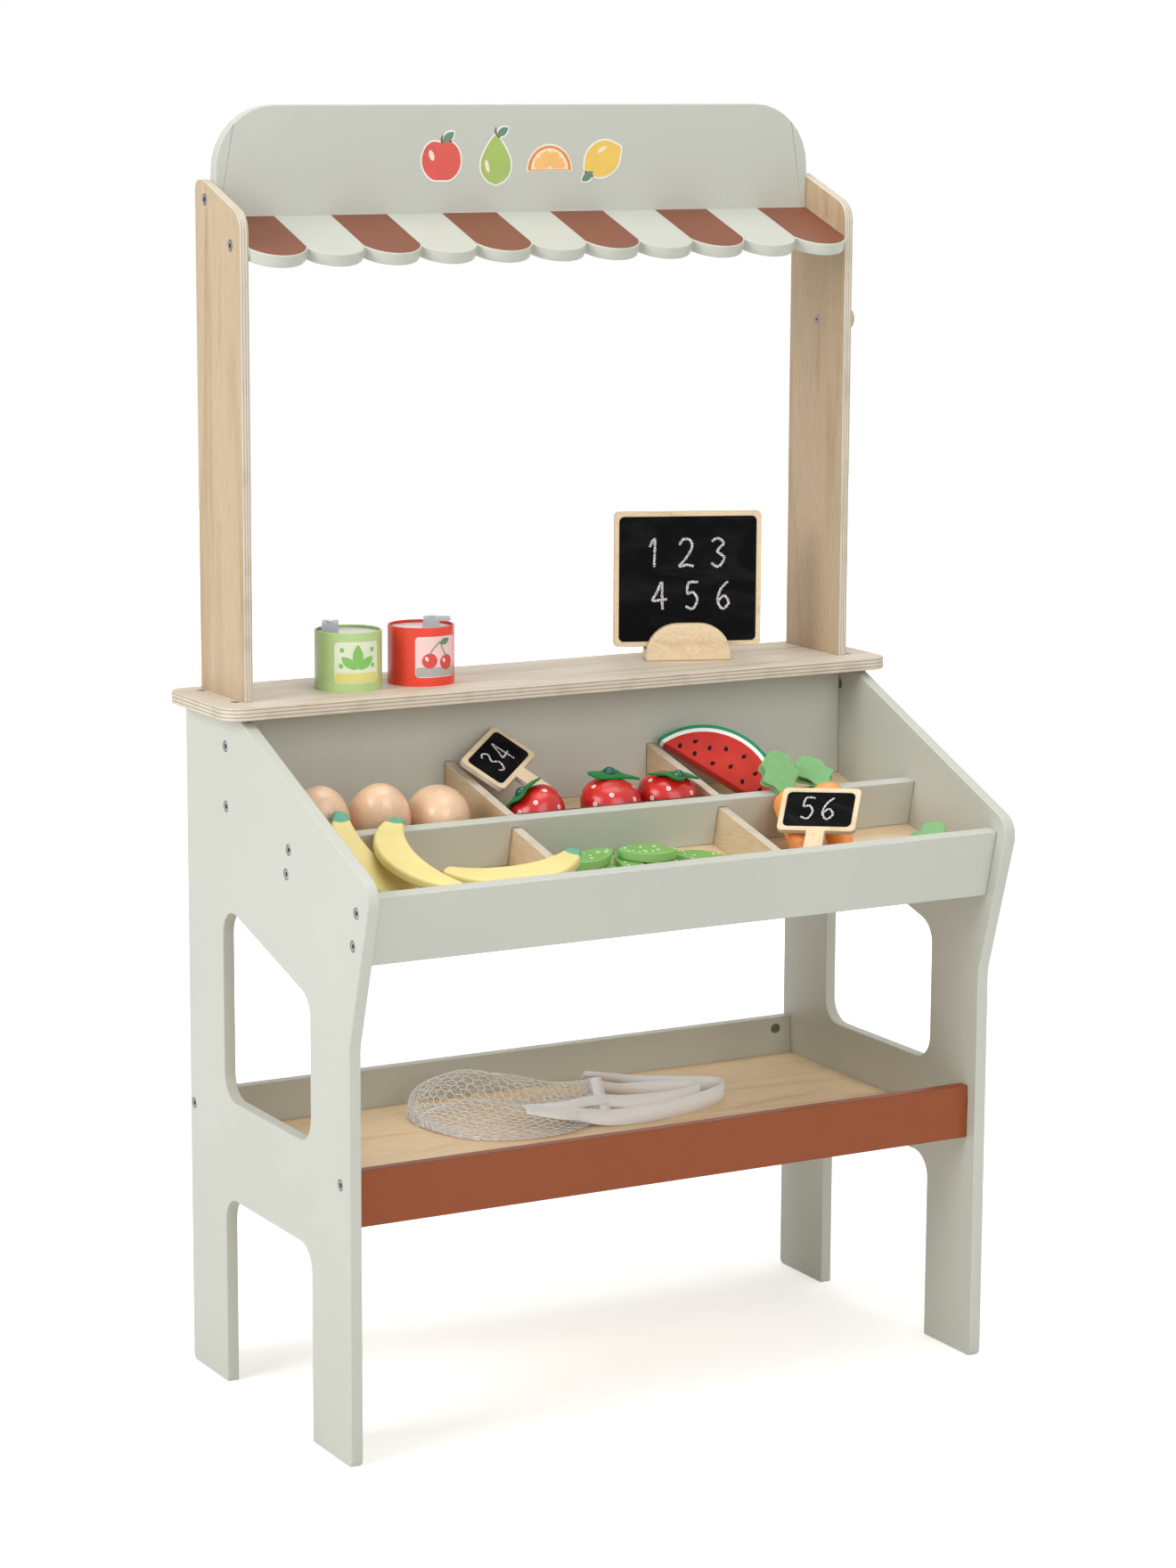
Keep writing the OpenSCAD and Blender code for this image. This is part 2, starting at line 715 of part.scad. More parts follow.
// Fasteners
module panel_bolts() {
    color(steel_colour) for (side = [0, 1]) mirror([side, 0, 0])
        for (place = panel_bolt_places) bolt(place, panel_span / 2, board_t);
}

module upright_bolts() {
    color(steel_colour) for (side = [0, 1]) mirror([side, 0, 0])
        for (place = upright_bolt_places) bolt(place, inner_x, upright_t);
}

module barrel_nuts() {
    color(steel_colour) for (side = [0, 1]) mirror([side, 0, 0]) {
        for (place = panel_bolt_places) barrel_nut(place, inner_x);
        for (place = upright_bolt_places) barrel_nut(place, upright_in_x);
    }
}

// Cans: a rimmed tin, a sunk lid with a rivet, and a tab that swivels on the rivet
can_depth_share = 0.507;
green_can_x_share = -0.3;
red_can_x_share = -0.1875;
rim_r = 1;
rivet_d = 4;
rivet_head_d = 7;
rivet_head_h = 1.4;
lid_t = 1.4;
tab_pivot_share = 0.31;
tab_body_share = 0.58;
tab_tongue_share = 0.3;
green_tab_offset_shares = [-0.29, 0.0];
red_tab_offset_shares = [0.1, -0.16];
green_tab_turn = 63;
red_tab_turn = -25;

module at_can(x_share) {
    translate([x_share * panel_span, at_depth(can_depth_share * counter_d), counter_z]) children();
}
module at_tab(x_share, offset_shares) {
    at_can(x_share)
        translate([offset_shares[0] * can_d, offset_shares[1] * can_d, can_h - lid_depth]) children();
}

module can_body() {
    difference() {
        cylinder(d = can_d, h = can_h - rim_r);
        translate([0, 0, can_wall]) cylinder(d = can_d - 2 * can_wall, h = can_h);
    }
    translate([0, 0, can_h - rim_r]) rotate_extrude() translate([can_d / 2 - rim_r, 0]) circle(r = rim_r);
}

module can_lid(offset_shares) {
    bottom = can_h - lid_depth - lid_t;
    translate([0, 0, bottom]) cylinder(d = can_d - 2 * rim_r - 2 * can_wall, h = lid_t);
    translate([offset_shares[0] * can_d, offset_shares[1] * can_d, bottom]) {
        cylinder(d = rivet_d, h = lid_t + tab_h + seat_gap);
        translate([0, 0, lid_t + tab_h + seat_gap]) cylinder(d = rivet_head_d, h = rivet_head_h);
    }
}

// Tab drawn from the side: a block on the lid with a thin tongue that a finger lifts
tab_profile = let (back = -tab_pivot_share * tab_l, front = back + tab_body_share * tab_l)
    rounded([[back, seat_gap], [front, seat_gap], [front, (1 - tab_tongue_share) * tab_h],
             [back + tab_l, (1 - tab_tongue_share) * tab_h], [back + tab_l, tab_h], [back, tab_h]],
        [0, rim_r, rim_r, rim_r, rim_r, rim_r]);

module can_tab() {
    difference() {
        translate([0, tab_w / 2, 0]) rotate([90, 0, 0]) linear_extrude(tab_w) polygon(tab_profile);
        translate([0, 0, -overrun]) cylinder(d = rivet_d + 4 * fit_gap, h = tab_h + 2 * overrun);
    }
}

module green_can() { color([0.7, 0.82, 0.55]) at_can(green_can_x_share) can_body(); }
module green_can_lid() { color("white") at_can(green_can_x_share) can_lid(green_tab_offset_shares); }
module green_can_tab() {
    color(steel_colour) at_tab(green_can_x_share, green_tab_offset_shares)
        rotate([0, 0, green_tab_turn]) can_tab();
}
module red_can() { color([0.9, 0.24, 0.16]) at_can(red_can_x_share) can_body(); }
module red_can_lid() { color("white") at_can(red_can_x_share) can_lid(red_tab_offset_shares); }
module red_can_tab() {
    color(steel_colour) at_tab(red_can_x_share, red_tab_offset_shares)
        rotate([0, 0, red_tab_turn]) can_tab();
}

// Chalkboard in its half-round foot, and two price signs on sticks
chalk_x_share = 0.253;
chalk_depth_share = 0.43;
chalk_turn = -21;
chalk_r = 5;
chalk_foot_r_share = 0.86;
chalk_slot_share = 0.35;
slate_t = 1.2;

module at_chalkboard() {
    translate([chalk_x_share * panel_span, at_depth(chalk_depth_share * counter_d), counter_z])
        rotate([0, 0, chalk_turn]) children();
}

// Plate with a shallow bed for its slate in the front face; the plate's middle is the origin
module slate_plate(w, h) {
    difference() {
        translate([0, chalk_t / 2, 0]) rotate([90, 0, 0]) linear_extrude(chalk_t)
            polygon(rounded_box(w, h, chalk_r));
        translate([0, slate_t - chalk_t / 2, 0]) rotate([90, 0, 0]) linear_extrude(slate_t + overrun)
            polygon(rounded_box(w - 2 * chalk_edge, h - 2 * chalk_edge, chalk_r));
    }
}

module slate(w, h) {
    translate([0, slate_t - chalk_t / 2, 0]) rotate([90, 0, 0]) linear_extrude(slate_t - fit_gap)
        polygon(rounded_box(w - 2 * chalk_edge - 2 * fit_gap, h - 2 * chalk_edge - 2 * fit_gap, chalk_r));
}

chalk_bottom = chalk_slot_share * chalk_foot_h + seat_gap;

module chalkboard_foot() {
    foot_r_top = chalk_foot_r_share * chalk_foot_h;
    color(birch_colour) at_chalkboard() difference() {
        translate([0, chalk_foot_d / 2, 0]) rotate([90, 0, 0]) linear_extrude(chalk_foot_d)
            polygon(rounded([[-chalk_foot_w / 2, 0], [chalk_foot_w / 2, 0],
                    [chalk_foot_w / 2, chalk_foot_h], [-chalk_foot_w / 2, chalk_foot_h]],
                [0, 0, foot_r_top, foot_r_top]));
        translate([-chalk_foot_w, -chalk_t / 2 - seat_gap, chalk_slot_share * chalk_foot_h])
            cube([2 * chalk_foot_w, chalk_t + 2 * seat_gap, chalk_foot_h]);
    }
}

module chalkboard() {
    color(birch_colour) at_chalkboard()
        translate([0, 0, chalk_bottom + chalk_h / 2]) slate_plate(chalk_w, chalk_h);
}
module chalkboard_slate() {
    color(slate_colour) at_chalkboard()
        translate([0, 0, chalk_bottom + chalk_h / 2]) slate(chalk_w, chalk_h);
}

// Places of the leaning signs in the bin, each from the piece that it leans on, with their turn
// to the side, lean to the back and roll in their own plane
left_sign_x_share = -0.366;
left_sign_n_share = 1.308;
left_sign_s = 23.595;
left_sign_behind = 68.123;
left_sign_climb_shares = [0.52, 0.92];
left_sign_turn = 12.4;
left_sign_lean = 53;
left_sign_roll = 29.5;
right_sign_x_share = 0.848;
right_sign_n_share = 1.156;
right_sign_ahead = 55.3615;
right_sign_turn = -47;
right_sign_lean = 46.5;
right_sign_roll = 3;

module at_left_sign() {
    // Where the row is too short for both, the sign climbs over the strawberry
    climb = max(0, left_sign_behind + left_sign_s - berry_s_shares[0] * back_row_d);
    in_tray(left_sign_x_share * compartment_w + left_sign_climb_shares[0] * climb, left_sign_s,
            left_sign_n_share * back_divider_h + left_sign_climb_shares[1] * climb)
        rotate([0, 0, left_sign_turn]) rotate([-left_sign_lean, 0, 0])
            rotate([0, -left_sign_roll, 0]) children();
}
module at_right_sign() {
    in_tray(right_sign_x_share * compartment_w,
            front_row_s + carrot_s_shares[0] * front_row_d + right_sign_ahead, right_sign_n_share * rail_h)
        rotate([0, 0, right_sign_turn]) rotate([-right_sign_lean, 0, 0])
            rotate([0, -right_sign_roll, 0]) children();
}

module price_sign() {
    slate_plate(sign_w, sign_h);
    difference() {
        translate([-sign_stick_w / 2, -chalk_t / 2, -sign_h / 2 - sign_stick_l])
            cube([sign_stick_w, chalk_t, sign_stick_l + chalk_edge]);
        slate_plate(sign_w, sign_h);
    }
}

module left_sign() { color(birch_colour) at_left_sign() price_sign(); }
module left_sign_slate() { color(slate_colour) at_left_sign() slate(sign_w, sign_h); }
module right_sign() { color(birch_colour) at_right_sign() price_sign(); }
module right_sign_slate() { color(slate_colour) at_right_sign() slate(sign_w, sign_h); }

// Height of a turned shape's middle when its axis rises from the floor by an angle
function rest_height(outline, rise) = max([for (p = outline) p[0] * cos(rise) - p[1] * sin(rise)]);
function reversed(list) = [for (i = [len(list) - 1 : -1 : 0]) list[i]];
left_x = -compartment_w - divider_t;
right_x = compartment_w + divider_t;

// Eggs that lie in the back left compartment, pointed end to the front or up
egg_taper_share = 0.1;
egg_x_shares = [-0.322, -0.032, 0.258];
egg_s_share = 0.68;
egg_turns = [-14, -22, -18];
egg_rises = [80, 66, 24];
egg_steps = 16;
egg_outline = [for (i = [0 : egg_steps]) let (a = 180 * i / egg_steps)
    [egg_d / 2 * sin(a) * (1 - egg_taper_share * cos(a)), egg_l / 2 * cos(a)]];

module egg(index) {
    rise = egg_rises[index];
    color([0.91, 0.75, 0.62]) tray()
        translate([left_x + egg_x_shares[index] * compartment_w, -egg_s_share * back_row_d,
                   rest_height(egg_outline, rise) + seat_gap])
            rotate([0, 0, egg_turns[index]]) rotate([90 - rise, 0, 0]) rotate_extrude() polygon(egg_outline);
}

module egg_1() { egg(0); }
module egg_2() { egg(1); }
module egg_3() { egg(2); }

// Strawberries with a felt leaf and a button on top, drawn about their middle
berry_taper_share = 0.2;
berry_flat_share = 0.2;
berry_steps = 16;
berry_cut_steps = 3;
berry_outline = concat(
    [for (i = [0 : berry_steps - berry_cut_steps]) let (a = 180 * i / berry_steps)
        [berry_d / 2 * sin(a) * (1 + berry_taper_share * cos(a)), berry_h / 2 * cos(a)]],
    [[berry_flat_share * berry_d, -berry_h / 2], [0, -berry_h / 2]]);
berry_leaf_r_share = 0.47;
berry_leaf_dip_share = 0.3;
berry_leaf_t = 2;
berry_leaf_lobes = 5;
berry_leaf_points = 60;
berry_leaf_outline = [for (i = [0 : berry_leaf_points - 1])
    let (a = 360 * i / berry_leaf_points)
    let (dip = berry_leaf_dip_share * (1 - cos(berry_leaf_lobes * a)) / 2)
    berry_leaf_r_share * berry_d * (1 - dip) * [cos(a), sin(a)]];
button_d = 11;
button_h = 5;
berry_x_shares = [-0.31, 0.06, 0.351];
berry_s_shares = [0.758, 0.735, 0.735];
berry_turns = [-37, 0, 40];
berry_tilts = [-48, 4, 8];

module at_berry(index) {
    tilt = berry_tilts[index];
    tray() translate([berry_x_shares[index] * compartment_w, -berry_s_shares[index] * back_row_d,
                      rest_height(berry_outline, 90 - abs(tilt)) + seat_gap])
        rotate([0, 0, berry_turns[index]]) rotate([0, tilt, 0]) children();
}

module berry(index) {
    color([0.82, 0.17, 0.16]) at_berry(index) rotate_extrude() polygon(berry_outline);
}

module berry_leaf(index) {
    color(leaf_colour) at_berry(index) translate([0, 0, berry_h / 2 + seat_gap]) {
        linear_extrude(berry_leaf_t) polygon(berry_leaf_outline);
        cylinder(d = button_d, h = berry_leaf_t + button_h);
    }
}

module strawberry_1() { berry(0); }
module strawberry_1_leaf() { berry_leaf(0); }
module strawberry_2() { berry(1); }
module strawberry_2_leaf() { berry_leaf(1); }
module strawberry_3() { berry(2); }
module strawberry_3_leaf() { berry_leaf(2); }

// Watermelon slice: part of a disc that leans on the divider, over an onion and a garlic bulb
melon_x_share = 0.715;
melon_s_share = 0.44;
melon_n_share = 0.755;
melon_turn = -25.6;
melon_lean = 56;
melon_roll = 34.8;
melon_r = (pow(melon_l / 2, 2) + pow(melon_h, 2)) / (2 * melon_h);

module watermelon_slice() {
    color([0.85, 0.2, 0.15])
        in_tray(melon_x_share * compartment_w, melon_s_share * back_row_d, melon_n_share * back_divider_h)
            rotate([0, 0, melon_turn]) rotate([melon_lean - 90, 0, 0]) rotate([0, melon_roll, 0])
                translate([0, melon_t, 0]) rotate([90, 0, 0]) linear_extrude(melon_t) intersection() {
                    translate([0, melon_h - melon_r]) circle(r = melon_r, $fn = 96);
                    translate([-melon_l, 0]) square([2 * melon_l, melon_l]);
                }
}

bulb_taper_share = 0.25;
bulb_steps = 12;
function bulb_outline(d) = [for (i = [0 : bulb_steps]) let (a = 180 * i / bulb_steps)
    [d / 2 * sin(a) * (1 - bulb_taper_share * cos(a)), d / 2 * cos(a)]];
onion_x_share = -0.41;
garlic_x_share = -0.26;
bulb_s_share = 0.85;

module bulb(x_share, d) {
    tray() translate([right_x + x_share * compartment_w, -bulb_s_share * back_row_d, d / 2 + seat_gap])
        rotate_extrude() polygon(bulb_outline(d));
}

module onion_and_garlic() {
    color([0.5, 0.38, 0.38]) bulb(onion_x_share, onion_d);
    color("white") bulb(garlic_x_share, garlic_d);
}

// Bananas: flat crescents cut from a board, the inner side towards +Y
banana_r_share = 0.56;
banana_end_share = 0.36;
banana_steps = 18;
banana_r = banana_r_share * banana_l;
banana_sweep = banana_l / banana_r * 180 / PI;
function banana_edge(side) = [for (i = [0 : banana_steps])
    let (t = 2 * i / banana_steps - 1, a = t * banana_sweep / 2)
    let (half = banana_w / 2 * (1 - (1 - banana_end_share) * t * t))
    [(banana_r + side * half) * sin(a), banana_r - (banana_r + side * half) * cos(a)]];
banana_outline = concat(banana_edge(1), reversed(banana_edge(-1)));
banana_colour = [0.9, 0.83, 0.57];

module banana() { color(banana_colour) linear_extrude(banana_t) polygon(banana_outline); }

// Two lie over the middle rail, the first down to the floor and the second on its end
over_rail_x_shares = [-0.286, -0.19];
over_rail_ahead_shares = [0.335, 0.385];
over_rail_turns = [28, 0];
over_rail_falls = [24.3, 4];

module over_rail(index) {
    tray() translate([left_x + over_rail_x_shares[index] * compartment_w, -front_row_s, rail_h + seat_gap])
        rotate([over_rail_falls[index], 0, 0]) translate([0, -over_rail_ahead_shares[index] * banana_l, 0])
            rotate([0, 0, over_rail_turns[index] - 90]) banana();
}

// The third lies over the front left divider
over_divider_s_share = 0.829;
over_divider_left_share = 0.281;
over_divider_turn = 0;
over_divider_rise = 3;

module banana_1() { over_rail(0); }
module banana_2() { over_rail(1); }
module banana_3() {
    tray() translate([-divider_x - divider_t / 2, -front_row_s - over_divider_s_share * front_row_d,
                      front_divider_h + seat_gap])
        rotate([0, -over_divider_rise, 0]) translate([-over_divider_left_share * banana_l, 0, 0])
            rotate([0, 0, over_divider_turn]) banana();
}

// Carrots with two layers of felt for a leaf; a carrot hangs down from its top at the origin
carrot_taper_share = 0.45;
carrot_round_share = 0.14;
carrot_steps = 14;
carrot_spread = 1.4;
function carrot_top_half(t) = t < carrot_round_share ? sqrt(1 - pow(1 - t / carrot_round_share, 2)) : 1;
function carrot_tip_half(t) = carrot_top_half(1 - t);
function carrot_half(t) =
    carrot_d / 2 * (1 - carrot_taper_share * t) * carrot_top_half(t) * carrot_tip_half(t);
carrot_outline = [for (i = [0 : carrot_steps]) let (t = pow(i / carrot_steps, carrot_spread))
    [i == carrot_steps ? 0 : carrot_half(t), -t * carrot_l]];
carrot_leaf_w_share = 0.84;
carrot_leaf_base_share = 0.3;
carrot_leaf_ripple_share = 0.16;
carrot_leaf_ripples = 2.5;
carrot_leaf_t = 2;
carrot_leaf_steps = 20;
carrot_leaf_splay = 7;
function carrot_leaf_half(t) = carrot_leaf_w_share * carrot_leaf_l / 2
    * (carrot_leaf_base_share + (1 - carrot_leaf_base_share) * sin(180 * t))
    * (1 + carrot_leaf_ripple_share * cos(360 * carrot_leaf_ripples * t));
carrot_leaf_outline = concat(
    [for (i = [0 : carrot_leaf_steps]) let (t = i / carrot_leaf_steps)
        [carrot_leaf_half(t), t * carrot_leaf_l]],
    [for (i = [0 : carrot_leaf_steps]) let (t = 1 - i / carrot_leaf_steps)
        [-carrot_leaf_half(t), t * carrot_leaf_l]]);

// Each carrot: place of its top in the front right compartment, turn to the side, fall to the
// front, rise of the leaf above the carrot's axis and lean of the leaf to the side
carrot_x_shares = [-0.2, -0.01, 0.172];
carrot_s_shares = [0.035, 0.031, 0.84];
carrot_n_shares = [1.032, 1.13, 0.416];
carrot_turns = [-12, -10, -86];
carrot_falls = [27.3, 31.2, 5.8];
carrot_leaf_rises = [15, -22, 32];
carrot_leaf_leans = [-15, -10, 0];

module at_carrot(index) {
    tray() translate([right_x + carrot_x_shares[index] * compartment_w,
                      -front_row_s - carrot_s_shares[index] * front_row_d, carrot_n_shares[index] * rail_h])
        rotate([0, 0, carrot_turns[index]]) rotate([carrot_falls[index] - 90, 0, 0]) children();
}

module carrot_root() { rotate_extrude() polygon(carrot_outline); }

module carrot(index) {
    color([0.93, 0.58, 0.26]) at_carrot(index) carrot_root();
}

// The layers are trimmed to the top of their carrot
module carrot_leaf(index) {
    color(felt_colour) at_carrot(index) difference() {
        rotate([carrot_leaf_rises[index], 0, 0]) rotate([0, carrot_leaf_leans[index], 0])
            for (side = [-1, 1]) translate([0, side * (carrot_leaf_t / 2 + seat_gap), 0])
                rotate([-side * carrot_leaf_splay, 0, 0]) translate([0, carrot_leaf_t / 2, 0])
                    rotate([90, 0, 0]) linear_extrude(carrot_leaf_t) polygon(carrot_leaf_outline);
        translate([0, 0, seat_gap]) carrot_root();
    }
}

module carrot_1() { carrot(0); }
module carrot_1_leaf() { carrot_leaf(0); }
module carrot_2() { carrot(1); }
module carrot_2_leaf() { carrot_leaf(1); }
module carrot_3() { carrot(2); }
module carrot_3_leaf() { carrot_leaf(2); }

// Pea pods: flat leaf-shaped pieces that lie in two layers in the front middle compartment
pod_steps = 14;
pod_fullness = 0.7;
function pod_edge(side) = [for (i = [0 : pod_steps]) let (t = 2 * i / pod_steps - 1)
    [t * pod_l / 2, side * pod_w / 2 * pow(cos(90 * t), pod_fullness)]];
pod_outline = concat(pod_edge(-1), reversed([for (i = [1 : pod_steps - 1]) pod_edge(1)[i]]));
pod_x_shares = [-0.33, -0.18, -0.03, 0.13, 0.33, -0.23, 0.06];
pod_s_shares = [0.27, 0.25, 0.26, 0.25, 0.3, 0.27, 0.26];
pod_layers = [0, 0, 0, 0, 0, 1, 1];
pod_turns = [75, 100, 82, 103, 155, 18, -14];

module pea_pods() {
    color([0.5, 0.8, 0.4]) for (i = [0 : len(pod_turns) - 1])
        tray() translate([pod_x_shares[i] * compartment_w, -front_row_s - pod_s_shares[i] * front_row_d,
                          seat_gap + pod_layers[i] * (pod_t + seat_gap)])
            rotate([0, 0, pod_turns[i]]) linear_extrude(pod_t) polygon(pod_outline);
}

// Net bag that lies on the lower shelf: its outer shape as a flat cushion, with one loop of handle band
bag_x_share = -0.086;
bag_depth_share = 0.31;
bag_turn = 1;
bag_points = 48;
bag_handle_w_share = 0.96;
bag_handle_x_share = 0.32;
bag_loop_share = 1.5;
bag_band_t = 4;
function oval(l, w) = [for (i = [0 : bag_points - 1]) let (a = 360 * i / bag_points)
    [l / 2 * cos(a), w / 2 * sin(a)]];

module net_bag() {
    loop_end = bag_l / 2 + bag_handle_l;
    loop_l = bag_loop_share * (loop_end - bag_handle_x_share * bag_l);
    loop_w = bag_handle_w_share * bag_w;
    color("white")
        translate([bag_x_share * panel_span, at_depth(bag_depth_share * leg_front), shelf_floor_z + seat_gap])
        rotate([0, 0, bag_turn]) {
            linear_extrude(bag_h) polygon(oval(bag_l, bag_w));
            translate([loop_end - loop_l / 2, 0, 0]) linear_extrude(bag_band_t) difference() {
                polygon(oval(loop_l, loop_w));
                polygon(oval(loop_l - 2 * bag_band_w, loop_w - 2 * bag_band_w));
            }
        }
}

left_side_panel();
right_side_panel();
counter_top();
left_upright();
right_upright();
header_board();
canopy_board();
back_panel();
bin_floor();
middle_rail();
front_board();
back_left_divider();
back_right_divider();
front_left_divider();
front_right_divider();
shelf_back_rail();
shelf_front_rail();
shelf_floor();
bag_knob();
knob_screw();
panel_bolts();
upright_bolts();
barrel_nuts();
counter_screws();
green_can();
green_can_lid();
green_can_tab();
red_can();
red_can_lid();
red_can_tab();
chalkboard_foot();
chalkboard();
chalkboard_slate();
left_sign();
left_sign_slate();
right_sign();
right_sign_slate();
egg_1();
egg_2();
egg_3();
strawberry_1();
strawberry_1_leaf();
strawberry_2();
strawberry_2_leaf();
strawberry_3();
strawberry_3_leaf();
watermelon_slice();
onion_and_garlic();
banana_1();
banana_2();
banana_3();
carrot_1();
carrot_1_leaf();
carrot_2();
carrot_2_leaf();
carrot_3();
carrot_3_leaf();
pea_pods();
net_bag();
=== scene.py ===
# %% [markdown]
# # A toy market stall, dressed for a studio picture
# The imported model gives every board, bolt and piece of play food its true place and size. This
# lesson keeps those places and makes the looks: paint, plywood, tin, felt, chalk and a cotton net.
# Everything is in metres: +X is to the right, +Y to the back and +Z up.

# %% Load the frame
import json
import math

import bmesh
import bpy
from mathutils import Matrix, Vector
from mathutils.bvhtree import BVHTree


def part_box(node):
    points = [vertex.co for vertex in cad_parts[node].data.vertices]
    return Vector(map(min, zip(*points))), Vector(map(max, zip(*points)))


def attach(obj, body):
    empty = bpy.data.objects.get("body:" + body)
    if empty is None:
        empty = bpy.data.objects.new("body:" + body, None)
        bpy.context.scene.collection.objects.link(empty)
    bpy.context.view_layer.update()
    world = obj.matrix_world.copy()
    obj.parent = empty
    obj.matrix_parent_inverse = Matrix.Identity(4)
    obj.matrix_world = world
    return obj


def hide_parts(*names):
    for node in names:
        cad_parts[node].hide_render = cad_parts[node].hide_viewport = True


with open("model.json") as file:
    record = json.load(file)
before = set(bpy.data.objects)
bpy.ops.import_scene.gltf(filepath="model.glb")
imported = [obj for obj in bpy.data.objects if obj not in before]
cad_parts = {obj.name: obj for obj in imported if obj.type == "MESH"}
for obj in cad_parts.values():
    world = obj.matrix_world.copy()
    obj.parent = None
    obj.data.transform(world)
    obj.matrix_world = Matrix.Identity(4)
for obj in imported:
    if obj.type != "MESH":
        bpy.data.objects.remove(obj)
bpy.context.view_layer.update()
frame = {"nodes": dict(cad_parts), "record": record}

scene = bpy.context.scene

# %% [markdown]
# ## Camera
# The stall is seen from the left front with a long lens, so its upright edges stay nearly parallel.
# A camera can be aimed with a Track To constraint, but here its three axes are worked out from a
# turn, a dip and a slight roll, because these came from fitting the straight edges of the stall.

# %% Aim the camera
EYE = Vector((-1.8196, -3.2601, 1.2477))
TURN, DIP, ROLL = 0.5058, 0.1795, 0.0046
FOCAL_PIXELS, IMAGE_HEIGHT = 4505.25, 1760
SENSOR = 36

forward = Vector((math.sin(TURN) * math.cos(DIP), math.cos(TURN) * math.cos(DIP), -math.sin(DIP)))
level_right = Vector((math.cos(TURN), -math.sin(TURN), 0))
level_up = level_right.cross(forward)
right = level_right * math.cos(ROLL) + level_up * math.sin(ROLL)
up = level_up * math.cos(ROLL) - level_right * math.sin(ROLL)
lens = bpy.data.cameras.new("camera")
lens.sensor_fit = "VERTICAL"
lens.sensor_height = SENSOR
lens.lens = SENSOR * FOCAL_PIXELS / IMAGE_HEIGHT
camera = bpy.data.objects.new("camera", lens)
camera.matrix_world = Matrix.Translation(EYE) @ Matrix((right, up, -forward)).transposed().to_4x4()
scene.collection.objects.link(camera)
scene.camera = camera
print("lens", round(lens.lens, 1), "mm")

# %% [markdown]
# ## A small kit for finishes
# Every finish is a node tree on the object's own coordinates, so it needs no unwrapping and moves
# with its piece. A class keeps the recipes short: noise for drift and grain, a ramp for colour, a
# bump for the feel of the surface.

# %% Colours
WHITE = (1, 1, 1, 1)


def tone(red, green, blue):
    """A colour written as 0 to 255 on screen, as the shader wants it."""
    def linear(value):
        value /= 255
        return value / 12.92 if value <= 0.04045 else ((value + 0.055) / 1.055) ** 2.4
    return (linear(red), linear(green), linear(blue), 1)


def shade(colour, factor):
    """The same colour, darker or lighter."""
    return tuple(min(1, channel * factor) for channel in colour[:3]) + (1,)


print("middle grey in the shader", round(tone(128, 128, 128)[0], 3))


# %% The finish kit
class Finish:
    """A material with a Principled shader, and short ways to feed its sockets."""

    def __init__(self, name, roughness=0.5, **sockets):
        self.material = bpy.data.materials.new(name)
        self.material.use_nodes = True
        self.tree = self.material.node_tree
        self.shader = self.tree.nodes["Principled BSDF"]
        self.shader.inputs["Roughness"].default_value = roughness
        for socket, value in sockets.items():
            self.shader.inputs[socket.replace("_", " ")].default_value = value
        self.place = self.node("ShaderNodeTexCoord").outputs["Object"]

    def node(self, kind, inputs=None, **settings):
        node = self.tree.nodes.new(kind)
        for setting, value in settings.items():
            setattr(node, setting, value)
        for socket, value in (inputs or {}).items():
            if isinstance(value, bpy.types.NodeSocket):
                self.tree.links.new(value, node.inputs[socket])
            else:
                node.inputs[socket].default_value = value
        return node

    def math(self, operation, a, b=0.0):
        return self.node("ShaderNodeMath", {0: a, 1: b}, operation=operation).outputs[0]

    def distance(self, spot):
        node = self.node("ShaderNodeVectorMath", {0: self.place, 1: spot}, operation="DISTANCE")
        return node.outputs["Value"]

    def stretched(self, stretch):
        return self.node("ShaderNodeMapping", {"Vector": self.place, "Scale": stretch}).outputs[0]

    def noise(self, scale, detail=2.0, stretch=(1, 1, 1), distortion=0.0):
        inputs = {"Vector": self.stretched(stretch), "Scale": scale, "Detail": detail,
                  "Distortion": distortion}
        return self.node("ShaderNodeTexNoise", inputs).outputs["Fac"]

    def ramp(self, factor, *stops):
        node = self.node("ShaderNodeValToRGB", {"Fac": factor})
        points = node.color_ramp.elements
        while len(points) < len(stops):
            points.new(1)
        for point, (position, colour) in zip(points, stops):
            point.position = position
            point.color = colour
        return node.outputs["Color"]

    def drift(self, colour, noise, low, high):
        """A colour that wanders from darker to lighter with a noise."""
        return self.ramp(noise, (0.3, shade(colour, low)), (0.7, shade(colour, high)))

    def mix(self, factor, a, b, blend="MIX"):
        node = self.node("ShaderNodeMix", {0: factor, 6: a, 7: b}, data_type="RGBA", blend_type=blend)
        return node.outputs[2]

    def times(self, a, b):
        return self.mix(1.0, a, b, "MULTIPLY")

    def feed(self, socket, value):
        self.tree.links.new(value, self.shader.inputs[socket])

    def colour(self, value):
        self.feed("Base Color", value)

    def gloss(self, factor, low, high):
        spread = self.node("ShaderNodeMapRange", {"Value": factor, "To Min": low, "To Max": high})
        self.feed("Roughness", spread.outputs["Result"])

    def bump(self, height, strength, distance):
        bump = self.node("ShaderNodeBump", {"Height": height, "Strength": strength, "Distance": distance})
        self.feed("Normal", bump.outputs["Normal"])


print("finish kit ready")

# %% [markdown]
# ## Studio
# Product pictures use large soft lamps, so that shadows have no hard edge. A key lamp stands to the
# left, weaker ones in front and above, and the white surround fills the rest. The floor keeps the
# stall's shadow, and a little light that only the camera sees lifts it to white.

# %% Lamps
scene.view_settings.view_transform = "Standard"
AIM = Vector((0, 0, 0.62))


